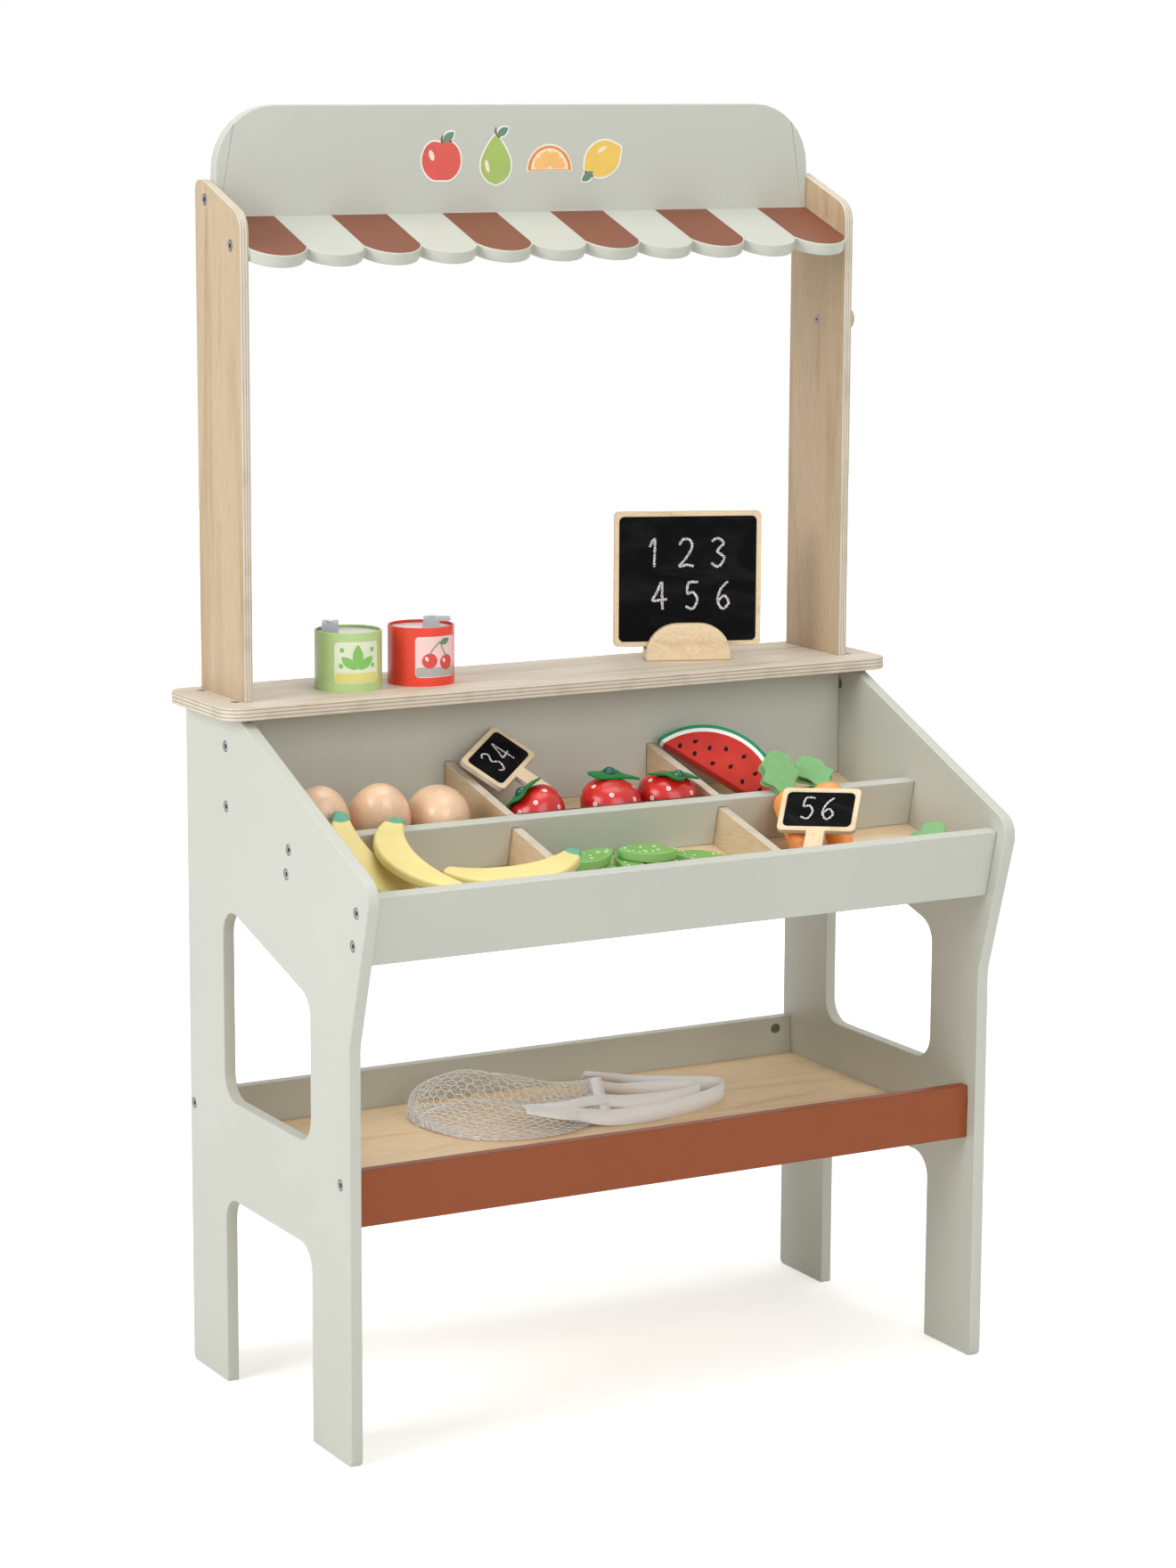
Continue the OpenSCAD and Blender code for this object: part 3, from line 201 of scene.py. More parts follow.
def soft_lamp(name, place, size, watts):
    lamp = bpy.data.lights.new(name, "AREA")
    lamp.shape = "SQUARE"
    lamp.size = size
    lamp.energy = watts
    obj = bpy.data.objects.new(name, lamp)
    obj.location = place
    obj.rotation_euler = (AIM - obj.location).to_track_quat("-Z", "Y").to_euler()
    scene.collection.objects.link(obj)


soft_lamp("key_lamp", Vector((-4.2, -0.5, 2.5)), size=2.4, watts=128)
soft_lamp("front_lamp", Vector((0.1, -3.4, 2.3)), size=2.6, watts=62)
soft_lamp("top_lamp", Vector((0.4, 0.2, 4.2)), size=2.6, watts=70)
print("lamps", len(bpy.data.lights))

# %% Surround and floor
SURROUND = 0.34
FLOOR_LIFT, LIFT_NEAR, LIFT_FAR = 0.44, 0.7, 2.4
FLOOR_SPAN = 14.0


def seen_by_camera(tree):
    path = tree.nodes.new("ShaderNodeLightPath")
    seen = path.outputs["Is Camera Ray"]
    for other in ("Is Glossy Ray", "Is Transmission Ray"):
        larger = tree.nodes.new("ShaderNodeMath")
        larger.operation = "MAXIMUM"
        tree.links.new(seen, larger.inputs[0])
        tree.links.new(path.outputs[other], larger.inputs[1])
        seen = larger.outputs[0]
    return seen


world = bpy.data.worlds.new("white_surround")
world.use_nodes = True
scene.world = world
sky = world.node_tree
backdrop = sky.nodes["Background"]
backdrop.inputs["Color"].default_value = WHITE
level = sky.nodes.new("ShaderNodeMapRange")
level.inputs["To Min"].default_value = SURROUND
level.inputs["To Max"].default_value = 1.0
sky.links.new(seen_by_camera(sky), level.inputs["Value"])
sky.links.new(level.outputs["Result"], backdrop.inputs["Strength"])

paper = Finish("floor_paper", roughness=0.9, Base_Color=(0.82, 0.82, 0.81, 1), Emission_Color=WHITE)
reach = paper.node("ShaderNodeVectorMath", {0: paper.place}, operation="LENGTH").outputs["Value"]
spread = {"Value": reach, "From Min": LIFT_NEAR, "From Max": LIFT_FAR, "To Min": FLOOR_LIFT, "To Max": 1.0}
glow = paper.node("ShaderNodeMapRange", spread, interpolation_type="SMOOTHSTEP").outputs["Result"]
paper.feed("Emission Strength", paper.math("MULTIPLY", seen_by_camera(paper.tree), glow))
floor_mesh = bpy.data.meshes.new("floor")
half = FLOOR_SPAN / 2
corners = [(-half, -half, 0), (half, -half, 0), (half, half, 0), (-half, half, 0)]
floor_mesh.from_pydata(corners, [], [(0, 1, 2, 3)])
floor = bpy.data.objects.new("floor", floor_mesh)
scene.collection.objects.link(floor)
floor_mesh.materials.append(paper.material)
print("floor", FLOOR_SPAN, "m wide")

# %% [markdown]
# ## Paint on board
# The side panels and rails are board with sprayed, satin paint. A single flat colour would look like
# plastic, so the paint drifts a little in tone over a hand's width, its gloss changes from place to
# place, and a fine bump gives the orange-peel of a sprayed coat.


# %% Paint
def paint(name, colour, low=0.36, high=0.5):
    finish = Finish(name, Specular_IOR_Level=0.35)
    finish.colour(finish.drift(colour, finish.noise(5, 3), 0.965, 1.02))
    finish.gloss(finish.noise(28, 3), low, high)
    finish.bump(finish.noise(420, 2), 0.08, 0.0004)
    return finish.material


OFF_WHITE = tone(195, 197, 186)
TERRACOTTA = tone(140, 69, 29)
white_paint = paint("white_board_paint", OFF_WHITE)
terracotta_paint = paint("terracotta_board_paint", TERRACOTTA)
print("paints", white_paint.name, terracotta_paint.name)

# %% [markdown]
# ## Birch plywood
# Plywood shows two things: a face with long, faint figure along its grain, and an edge with thin
# layers that turn from light to dark. Two materials do this. The face stretches noise along the
# grain. The edge counts layers along the board's thickness.

# %% Plywood face and edge
GRAIN_STRETCH = 11.0
PLY_DARK, PLY_LIGHT, PLY_GREY = tone(178, 162, 138), tone(222, 212, 195), tone(212, 205, 193)
PLY_WANDER = 0.12
AXES = {"X": 0, "Y": 1, "Z": 2}


def along(axis, slow, fast):
    stretch = [fast, fast, fast]
    stretch[AXES[axis]] = slow
    return stretch


def birch_face(name, grain, pale, deep):
    finish = Finish(name)
    figure = finish.noise(2.6, 5, along(grain, 1, GRAIN_STRETCH), 1.1)
    wood = finish.ramp(figure, (0.28, deep), (0.46, pale), (0.62, shade(pale, 1.05)), (0.8, deep))
    fibre = finish.noise(46, 4, along(grain, 1, GRAIN_STRETCH * 1.5))
    lines = finish.ramp(fibre, (0.34, (0.86, 0.83, 0.79, 1)), (0.5, WHITE))
    cloud = finish.ramp(finish.noise(7, 2), (0.3, (0.95, 0.94, 0.92, 1)), (0.7, WHITE))
    finish.colour(finish.times(finish.times(wood, lines), cloud))
    finish.gloss(fibre, 0.5, 0.62)
    finish.bump(fibre, 0.12, 0.0003)
    return finish.material


def ply_edge(name, thin, low, thickness, layers):
    finish = Finish(name, roughness=0.7)
    depth = finish.node("ShaderNodeVectorMath", {0: finish.place, 1: thin}, operation="DOT_PRODUCT")
    above = finish.math("SUBTRACT", depth.outputs["Value"], low)
    count = finish.math("MULTIPLY", above, layers / thickness)
    wander = finish.math("MULTIPLY", finish.noise(8, 2), PLY_WANDER)
    layer = finish.math("PINGPONG", finish.math("ADD", count, wander), 1.0)
    plies = finish.ramp(layer, (0.3, PLY_DARK), (0.48, PLY_LIGHT), (0.85, PLY_GREY))
    streak = finish.ramp(finish.noise(38, 5), (0.3, (0.84, 0.81, 0.78, 1)), (0.5, WHITE))
    finish.colour(finish.times(plies, streak))
    finish.bump(layer, 0.25, 0.0003)
    return finish.material


BIRCH, BIRCH_DEEP = tone(195, 173, 143), tone(178, 151, 115)
FLOOR_BIRCH, FLOOR_BIRCH_DEEP = tone(236, 212, 176), tone(218, 190, 148)
COUNTER, COUNTER_DEEP = tone(217, 206, 190), tone(198, 180, 156)
DIVIDER_PALER = 1.15
birch_upright = birch_face("birch_along_z", "Z", BIRCH, BIRCH_DEEP)
birch_across = birch_face("birch_along_x", "X", FLOOR_BIRCH, FLOOR_BIRCH_DEEP)
birch_forward = birch_face("birch_along_y", "Y", shade(BIRCH, DIVIDER_PALER), shade(BIRCH_DEEP, DIVIDER_PALER))
counter_face = birch_face("counter_birch", "X", COUNTER, COUNTER_DEEP)
print("plywood faces", [m.name for m in (birch_upright, birch_across, birch_forward, counter_face)])

# %% [markdown]
# ## Boards with a round-over
# The frame's boards have sharp arrises, and no real board has. Each board's mesh is copied into a new
# object and a Bevel modifier rounds its edges by about a millimetre. A bevel tears where a flat face
# with a hole is split by long thin triangles, so the copy is first sliced through the middle of each
# hole: then every flat face is one clean polygon. The mouth of a groove or a sunk hole stays sharp, as
# a cutter leaves it. A Weighted Normal modifier lets the large faces set the shading, so that a board
# looks flat right up to its round-over. The copy replaces the frame's own board.

# %% Flat faces and their holes
FLAT = math.radians(0.5)


def flat_patches(bm):
    """Groups of neighbouring faces that lie in one plane."""
    seen = set()
    for first in bm.faces:
        if first in seen:
            continue
        patch, waiting = {first}, [first]
        while waiting:
            for edge in waiting.pop().edges:
                for other in edge.link_faces:
                    if other not in patch and first.normal.angle(other.normal, math.pi) < FLAT:
                        patch.add(other)
                        waiting.append(other)
        seen |= patch
        yield patch


def hole_spans(bm, axis):
    """Lowest and highest place, along an axis, of every hole in a flat face."""
    holes = []
    for patch in flat_patches(bm):
        rim = {edge for face in patch for edge in face.edges
               if sum(other in patch for other in edge.link_faces) == 1}
        loops = []
        while rim:
            waiting, spots = [rim.pop()], []
            while waiting:
                for vert in waiting.pop().verts:
                    spots.append(vert.co[axis])
                    joined = [edge for edge in vert.link_edges if edge in rim]
                    rim.difference_update(joined)
                    waiting += joined
            loops.append((max(spots) - min(spots), min(spots), max(spots)))
        holes += [loop[1:] for loop in sorted(loops)[:-1]]
    return sorted(holes)


print("faces within", round(math.degrees(FLAT), 2), "degrees count as one plane")

# %% Copy a node with clean faces
MERGE = 0.00001
HOLE_MARGIN = 0.25


def plain_copy(node):
    """A node's mesh, with its corners joined."""
    bm = bmesh.new()
    bm.from_mesh(frame["nodes"][node].data)
    bmesh.ops.remove_doubles(bm, verts=bm.verts, dist=MERGE)
    return bm


def clean_copy(node):
    """A node's mesh with one polygon for every flat face, sliced at its holes."""
    bm = plain_copy(node)
    bm.normal_update()
    low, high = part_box(node)
    longest = max(range(3), key=lambda axis: high[axis] - low[axis])
    cuts = []
    for first, last in hole_spans(bm, longest):
        inner = (last - first) * HOLE_MARGIN
        if not any(first + inner < cut < last - inner for cut in cuts):
            cuts.append((first + last) / 2)
    for cut in cuts:
        spot, across = Vector(), Vector()
        spot[longest], across[longest] = cut, 1
        everything = bm.verts[:] + bm.edges[:] + bm.faces[:]
        sliced = bmesh.ops.bisect_plane(bm, geom=everything, dist=MERGE, plane_co=spot, plane_no=across)
        for piece in sliced["geom_cut"]:
            if isinstance(piece, bmesh.types.BMEdge):
                piece.seam = True
    bmesh.ops.dissolve_limit(bm, angle_limit=FLAT, verts=bm.verts, edges=bm.edges, delimit={"SEAM"})
    bm.normal_update()
    return bm


sample = clean_copy("counter_top")
print("counter_top has", len(sample.faces), "clean faces")
sample.free()


# %% Put a piece in a node's place
def body_of(node):
    return next(body for body, nodes in frame["record"]["behaviour"]["bodies"].items() if node in nodes)


def slot_of(node):
    return next(part["material_slot"] for part in frame["record"]["subparts"] if part["node"] == node)


def go_with(obj, node):
    """obj rides on a node's body."""
    slot_of(node)
    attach(obj, body_of(node))
    return obj


def stand_in(obj, node):
    """obj is shown in place of a node."""
    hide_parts(node)
    return go_with(obj, node)


def link_mesh(name, mesh, *materials):
    for material in materials:
        mesh.materials.append(material)
    mesh.shade_smooth()
    obj = bpy.data.objects.new(name, mesh)
    scene.collection.objects.link(obj)
    return obj


def link_bmesh(name, bm, *materials):
    mesh = bpy.data.meshes.new(name)
    bm.to_mesh(mesh)
    bm.free()
    return link_mesh(name, mesh, *materials)


print("a node's copy rides on", body_of("counter_top"), "and takes slot", slot_of("counter_top"))

# %% Round the edges
SHARP = math.radians(32)
FACE_ON = 0.9


def mark_recesses(bm):
    """Weighs the edges to round: sharp ones, but not the mouth of a groove or a sunk hole."""
    weight = bm.edges.layers.float.new("bevel_weight_edge")
    inner = [edge for edge in bm.edges if edge.calc_face_angle_signed(0) < -SHARP]
    walls = {face for edge in inner for face in edge.link_faces}
    for edge in bm.edges:
        edge.smooth = edge.calc_face_angle(0) < SHARP
        if not edge.smooth and not any(face in walls for face in edge.link_faces):
            edge[weight] = 1
            edge.smooth = True


def round_edges(obj, width, segments=2, material=-1, limit="ANGLE"):
    bevel = obj.modifiers.new("round_over", "BEVEL")
    bevel.width = width
    bevel.segments = segments
    bevel.limit_method = limit
    bevel.angle_limit = SHARP
    bevel.use_clamp_overlap = False
    bevel.material = material
    flat = obj.modifiers.new("flat_faces_stay_flat", "WEIGHTED_NORMAL")
    flat.weight = 100
    flat.keep_sharp = True
    return obj


def widest_face(bm):
    return max(bm.faces, key=lambda polygon: polygon.calc_area())


def board(node, face, round_over, layers=0, grooved=False):
    """A node as a board with rounded edges; with layers, its edges show that many plies."""
    bm = clean_copy(node)
    if grooved:
        mark_recesses(bm)
    finishes = [face]
    if layers:
        thin = widest_face(bm).normal.copy()
        depths = [vert.co.dot(thin) for vert in bm.verts]
        finishes.append(ply_edge(node + "_plies", thin, min(depths), max(depths) - min(depths), layers))
        for polygon in bm.faces:
            polygon.material_index = 0 if abs(polygon.normal.dot(thin)) > FACE_ON else 1
    obj = link_bmesh(node + "_board", bm, *finishes)
    return stand_in(round_edges(obj, round_over, limit="WEIGHT" if grooved else "ANGLE"), node)


print("edges over", round(math.degrees(SHARP)), "degrees are rounded")

# %% Painted boards
PAINTED_ROUND = 0.0012
painted = ["header_board", "back_panel", "middle_rail"]
for node in painted:
    board(node, white_paint, PAINTED_ROUND)
grooved = ["left_side_panel", "right_side_panel", "front_board", "shelf_back_rail"]
for node in grooved:
    board(node, white_paint, PAINTED_ROUND, grooved=True)
board("shelf_front_rail", terracotta_paint, PAINTED_ROUND, grooved=True)
print("painted boards", len(painted + grooved) + 1)

# %% Plywood boards
PLY_ROUND = 0.0008
PLIES, FLOOR_PLIES = 7, 5
dividers = ["back_left_divider", "back_right_divider", "front_left_divider", "front_right_divider"]
plywood = [(counter_face, PLIES, ["counter_top"]), (birch_upright, PLIES, ["left_upright", "right_upright"]),
           (birch_forward, PLIES, dividers), (birch_across, FLOOR_PLIES, ["shelf_floor", "bin_floor"])]
for face, layers, nodes in plywood:
    for node in nodes:
        board(node, face, PLY_ROUND, layers)
print("plywood boards", sum(len(nodes) for face, layers, nodes in plywood))

# %% [markdown]
# ## The striped canopy
# The canopy is one painted board whose front is cut in scallops, and every second scallop has a
# coloured stripe on top. The stripes could be loose decals, but they are paint, so they are made in
# the material: the distance along the board is counted in scallops, and odd ones take the colour.

# %% Canopy
SCALLOPS = 11
TOP_FACING = 0.8
canopy_low, canopy_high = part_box("canopy_board")
pitch = (canopy_high[0] - canopy_low[0]) / SCALLOPS


def awning_paint(name, ground, stripe):
    finish = Finish(name, Specular_IOR_Level=0.25)
    across = finish.node("ShaderNodeSeparateXYZ", {"Vector": finish.place}).outputs["X"]
    count = finish.math("DIVIDE", finish.math("SUBTRACT", across, canopy_low[0]), pitch)
    every_second = finish.math("MODULO", finish.math("FLOOR", count), 2.0)
    cloud = finish.noise(5, 3)
    pale = finish.drift(ground, cloud, 0.965, 1.02)
    strong = finish.drift(stripe, cloud, 0.94, 1.05)
    finish.colour(finish.mix(every_second, strong, pale))
    finish.gloss(finish.noise(28, 3), 0.3, 0.42)
    finish.bump(finish.noise(420, 2), 0.06, 0.0004)
    return finish.material


awning = awning_paint("striped_canopy_paint", OFF_WHITE, tone(126, 72, 49))
bm = clean_copy("canopy_board")
for polygon in bm.faces:
    polygon.material_index = 0 if polygon.normal.z > TOP_FACING else 1
canopy = link_bmesh("canopy_board_striped", bm, awning, white_paint)
stand_in(round_edges(canopy, PAINTED_ROUND, segments=3, material=1), "canopy_board")
print("canopy stripes", (SCALLOPS + 1) // 2, "pitch", round(pitch, 4))

# %% [markdown]
# ## Fasteners and the knob
# The bolts, barrel nuts and screws are true in the frame, so they stay and only get a metal finish:
# zinc-plated steel is grey, a little rough and slightly cloudy.


# %% Steel
def metal(name, colour, low, high):
    finish = Finish(name, Metallic=1.0)
    finish.colour(finish.drift(colour, finish.noise(160, 3), 0.8, 1))
    finish.gloss(finish.noise(420, 2), low, high)
    return finish.material


def repaint(node, material):
    obj = frame["nodes"][node]
    if not obj.material_slots:
        obj.data.materials.append(material)
    for place in obj.material_slots:
        place.material = material


zinc = metal("zinc_plated_steel", tone(150, 150, 150), 0.28, 0.45)
fasteners = ["panel_bolts", "upright_bolts", "barrel_nuts", "counter_screws", "knob_screw"]
for node in fasteners:
    repaint(node, zinc)
board("bag_knob", birch_upright, PLY_ROUND)
print("fasteners", len(fasteners))

# %% [markdown]
# ## Flat prints
# Labels, fruit pictures and chalk numbers are thin films on a surface. Each is drawn as an outline or
# a stroke in two directions, and a "lay" function bends that drawing onto a flat board or round a tin.
# A film is filled in rings from its middle, so that it can follow a curve.

# %% Outlines
TURN_FULL = 2 * math.pi


def round_about(radius, count=40):
    """An outline from a radius that depends on the angle."""
    angles = [TURN_FULL * step / count for step in range(count)]
    return [(radius(a) * math.cos(a), radius(a) * math.sin(a)) for a in angles]


def oval(wide, high, count=28):
    angles = [TURN_FULL * i / count for i in range(count)]
    return [(wide * math.cos(a), high * math.sin(a)) for a in angles]


def both_sides(half_width, length, count=14):
    """An outline that is the same on both sides of a stem."""
    steps = [i / count for i in range(count + 1)]
    right_side = [(half_width(t), length * (t - 0.5)) for t in steps]
    return right_side + [(-x, y) for x, y in reversed(right_side[1:-1])]


def dent(angle, middle, width):
    away = (angle - middle + math.pi) % TURN_FULL - math.pi
    return math.exp(-(away / width) ** 2)


def moved(outline, right_by, up_by, turn=0.0):
    c, s = math.cos(turn), math.sin(turn)
    return [(x * c - y * s + right_by, x * s + y * c + up_by) for x, y in outline]


def middle_of(outline):
    return sum(x for x, y in outline) / len(outline), sum(y for x, y in outline) / len(outline)


def grown(outline, by):
    cx, cy = middle_of(outline)
    spread = [(x - cx, y - cy, math.hypot(x - cx, y - cy)) for x, y in outline]
    return [(cx + x * (1 + by / r), cy + y * (1 + by / r)) for x, y, r in spread]


def between(a, b, c, d, t):
    """A smooth way from b to c, led by a before them and d after them."""
    return 0.5 * (2 * b + (c - a) * t + (2 * a - 5 * b + 4 * c - d) * t * t + (3 * b - a - 3 * c + d) * t ** 3)


def curve_through(points, steps=7):
    """A smooth line through given points."""
    points = [Vector(p) for p in points]
    last = len(points) - 1
    line = []
    for i in range(last):
        four = points[max(i - 1, 0)], points[i], points[i + 1], points[min(i + 2, last)]
        line += [between(*four, k / steps) for k in range(steps)]
    return line + [points[-1]]


print("points of an oval", len(oval(1, 1)))

# %% Films
SHAKE, SHAKE_STEP = 0.22, 2.1


class Film:
    """A drawing of filled outlines and strokes, made into one thin mesh."""

    def __init__(self, lay):
        self.lay = lay
        self.points, self.faces, self.inks = [], [], []

    def fill(self, outline, ink, lift, rings=3):
        cx, cy = middle_of(outline)
        first, count = len(self.points), len(outline)
        self.points.append(self.lay(cx, cy, lift))
        for ring in range(1, rings + 1):
            share = ring / rings
            self.points += [self.lay(cx + (x - cx) * share, cy + (y - cy) * share, lift) for x, y in outline]
        for i in range(count):
            j = (i + 1) % count
            self.faces.append((first, first + 1 + i, first + 1 + j))
            for ring in range(rings - 1):
                a = first + 1 + ring * count
                self.faces.append((a + i, a + count + i, a + count + j, a + j))
        self.inks += [ink] * (len(self.faces) - len(self.inks))

    def stroke(self, line, width, ink, lift):
        first = len(self.points)
        for i, here in enumerate(line):
            ahead = (line[min(i + 1, len(line) - 1)] - line[max(i - 1, 0)]).normalized()
            half = width / 2 * (1 + SHAKE * math.sin(SHAKE_STEP * i))
            for side in (half, -half):
                self.points.append(self.lay(here.x - ahead.y * side, here.y + ahead.x * side, lift))
        for i in range(len(line) - 1):
            a = first + 2 * i
            self.faces.append((a, a + 1, a + 3, a + 2))
        self.inks += [ink] * (len(self.faces) - len(self.inks))

    def make(self, name, *materials):
        mesh = bpy.data.meshes.new(name)
        mesh.from_pydata(self.points, [], self.faces)
        mesh.polygons.foreach_set("material_index", self.inks)
        return link_mesh(name, mesh, *materials)


def flat_lay(origin, along_a, along_b, out):
    return lambda a, b, lift: origin + along_a * a + along_b * b + out * lift


print("film kit ready")

# %% [markdown]
# ## Fruit on the header
# A row of four plain fruits sits in the middle of the header: an apple, a pear, half an orange and a
# lemon. Each has a thin pale border, as a cut transfer has.

# %% Inks and the header's film
BORDER = 0.0016
FILM = 0.00018
FRUIT_STEP = 0.058
FRUIT_RISE = 0.006
STALK_R = 0.0009
INKS = {
    "border": tone(244, 242, 234), "red": tone(216, 84, 74), "green": tone(161, 186, 96),
    "peel": tone(228, 138, 58), "flesh": tone(244, 190, 108), "yellow": tone(235, 196, 92),
    "leaf": tone(98, 132, 112), "stem": tone(112, 84, 66), "light": tone(248, 226, 196)}
ink_names = list(INKS)


def ink(name, colour, **sockets):
    finish = Finish(name, **sockets)
    finish.colour(finish.drift(colour, finish.noise(60, 4), 0.95, 1.03))
    finish.gloss(finish.noise(90, 2), 0.34, 0.46)
    finish.bump(finish.noise(900, 2), 0.05, 0.0002)
    return finish.material


inks = [ink("ink_" + name, colour) for name, colour in INKS.items()]
header_low, header_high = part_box("header_board")
header_middle = Vector((0, header_low[1], (header_low[2] + header_high[2]) / 2 + FRUIT_RISE))
header_film = Film(flat_lay(header_middle, Vector((1, 0, 0)), Vector((0, 0, 1)), Vector((0, -1, 0))))


def leaf(length, width):
    return both_sides(lambda t: width / 2 * math.sin(math.pi * t) ** 0.8, length)


def picture(place, layers):
    """One fruit: every layer is an outline and its ink, and the first two get the border."""
    for outline, name in layers[:2]:
        header_film.fill(moved(grown(outline, BORDER), place, 0), ink_names.index("border"), FILM)
    for depth, (outline, name) in enumerate(layers):
        header_film.fill(moved(outline, place, 0), ink_names.index(name), FILM * (2 + 0.5 * depth))


def stalk(length):
    return both_sides(lambda t: STALK_R, length, 3)


print("inks", len(inks))

# %% Apple and pear
APPLE, PEAR, PEAR_TALL = 0.0205, 0.0205, 0.047
TOP, FOOT = math.pi / 2, -math.pi / 2
apple = round_about(lambda a: APPLE * (1 - 0.2 * dent(a, TOP, 0.4) - 0.1 * dent(a, FOOT, 0.35)))
picture(-1.5 * FRUIT_STEP, [
    (apple, "red"), (moved(leaf(0.015, 0.008), 0.0075, 0.0215, -0.9), "leaf"),
    (moved(stalk(0.011), 0.0005, 0.0195, -0.15), "stem"),
    (moved(oval(0.0026, 0.0052), -0.0105, 0.0045, 0.35), "light")])
pear = both_sides(lambda t: PEAR * math.sin(math.pi * t) ** 0.62 * (1.06 - 0.62 * t), PEAR_TALL)
picture(-0.5 * FRUIT_STEP, [
    (pear, "green"), (moved(leaf(0.014, 0.0075), 0.0072, 0.0262, -1.0), "leaf"),
    (moved(stalk(0.01), 0, 0.0262, 0.2), "stem"),
    (moved(oval(0.0022, 0.0062), -0.0095, -0.006, 0.25), "light")])
print("apple and pear drawn with", len(header_film.faces), "faces")

# %% Orange and lemon
ORANGE, LEMON = 0.0235, 0.0165
SEGMENTS, SEGMENT_W, SEGMENT_LONG, SEGMENT_OUT, SEGMENT_DOWN = 4, 0.0068, 0.0155, 0.0098, -0.009
half_turn = [math.pi * i / 24 for i in range(25)]


def half_disc(radius, up_by):
    return [(radius * math.cos(a), radius * math.sin(a) + up_by) for a in half_turn]


def segment(a):
    wedge = both_sides(lambda t: SEGMENT_W * t ** 0.8 * (1 - 0.5 * max(0, t - 0.75) * 4), SEGMENT_LONG)
    return moved(wedge, SEGMENT_OUT * math.cos(a), SEGMENT_DOWN + SEGMENT_OUT * math.sin(a), a - TOP)


middles = [math.pi * (index + 0.5) / SEGMENTS for index in range(SEGMENTS)]
picture(0.5 * FRUIT_STEP, [
    (half_disc(ORANGE, -0.0105), "peel"), (half_disc(ORANGE * 0.86, -0.0098), "light")]
    + [(segment(a), "flesh") for a in middles])
lemon = round_about(
    lambda a: LEMON * (1 + 0.2 * math.cos(a) ** 2 + 0.2 * dent(a, 0, 0.2) + 0.14 * dent(a, math.pi, 0.2)))
picture(1.5 * FRUIT_STEP, [
    (moved(lemon, 0, 0, 0.5), "yellow"), (moved(leaf(0.015, 0.008), -0.0165, -0.0165, 2.2), "leaf"),
    (moved(oval(0.006, 0.0019), -0.001, 0.0088, 0.5), "light")])
go_with(header_film.make("header_fruits", *inks), "header_board")
print("header film faces", len(header_film.faces))

# %% [markdown]
# ## Tins
# A tin is a printed cylinder with a pale lid sunk in its top and a ring pull. The label is a film
# wrapped round the cylinder, and its picture is again a plain one: leaves and dots, or two cherries.


# %% Tins, lids and tabs
def turned(node, material):
    """A node with smooth round sides: only its real edges stay sharp."""
    bm = plain_copy(node)
    bm.normal_update()
    for edge in bm.edges:
        edge.smooth = edge.calc_face_angle(0) < SHARP
    return stand_in(link_bmesh(node + "_turned", bm, material), node)


def rounded_box(half_w, half_h, corner, steps=6):
    outline = []
    for quarter, (sx, sy) in enumerate(((1, 1), (-1, 1), (-1, -1), (1, -1))):
        x, y = sx * (half_w - corner), sy * (half_h - corner)
        for step in range(steps + 1):
            a = math.pi / 2 * (quarter + step / steps)
            outline.append((x + corner * math.cos(a), y + corner * math.sin(a)))
    return outline


def dense(outline, step=0.002):
    """The same outline with more points on its long edges, so that it can bend."""
    points = []
    for (ax, ay), (bx, by) in zip(outline, outline[1:] + outline[:1]):
        parts = max(1, math.ceil(math.hypot(bx - ax, by - ay) / step))
        points += [(ax + (bx - ax) * i / parts, ay + (by - ay) * i / parts) for i in range(parts)]
    return points


def centre_of(node):
    low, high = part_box(node)
    return (Vector(low) + Vector(high)) / 2


def tin(node, colour, facing, draw, *label_inks):
    turned(node, paint(node + "_print", colour, 0.22, 0.32))
    low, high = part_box(node)
    centre = centre_of(node)
    radius = (high[0] - low[0]) / 2

    def wrap(a, b, lift):
        angle = facing + a / radius
        out = Vector((math.cos(angle), math.sin(angle), 0))
        return centre + out * (radius + lift) + Vector((0, 0, b))

    label = Film(wrap)
    draw(label)
    go_with(label.make(node + "_label", *label_inks), node)
    turned(node + "_lid", lid_paint)
    turned(node + "_tab", tab_plastic)
    print(node, "radius", round(radius, 4))


print("tins stand at x", [round(centre_of(node).x, 3) for node in ("green_can", "red_can")])

# %% Labels
LABEL_HALF_W, LABEL_HALF_H, LABEL_CORNER = 0.0225, 0.0195, 0.004
LABEL_BAND, LABEL_EDGE = 0.0045, 0.0008
BAND_LIFT, MOTIF_LIFT, STALK_LIFT, TOP_LIFT = FILM * 1.6, FILM * 2.2, FILM * 2.4, FILM * 2.6


def label_ground(film):
    """A pale label with a band along its foot."""
    film.fill(dense(rounded_box(LABEL_HALF_W, LABEL_HALF_H, LABEL_CORNER)), 0, FILM, 8)
    band = dense(rounded_box(LABEL_HALF_W - LABEL_EDGE, LABEL_BAND, LABEL_BAND / 2))
    film.fill(moved(band, 0, LABEL_BAND + LABEL_EDGE - LABEL_HALF_H), 1, BAND_LIFT, 8)


def leafy_label(film):
    label_ground(film)
    for turn, size in ((0.9, 1.0), (0, 1.2), (-0.9, 1.0)):
        stem = leaf(0.019 * size, 0.0085 * size)
        film.fill(moved(moved(stem, 0, 0.0105 * size), 0, -0.007, turn), 2, MOTIF_LIFT, 4)
    for x, y in ((-0.015, 0.012), (0.015, 0.012), (-0.016, -0.003), (0.016, -0.003)):
        film.fill(moved(oval(0.0022, 0.0022, 14), x, y), 2, MOTIF_LIFT, 2)


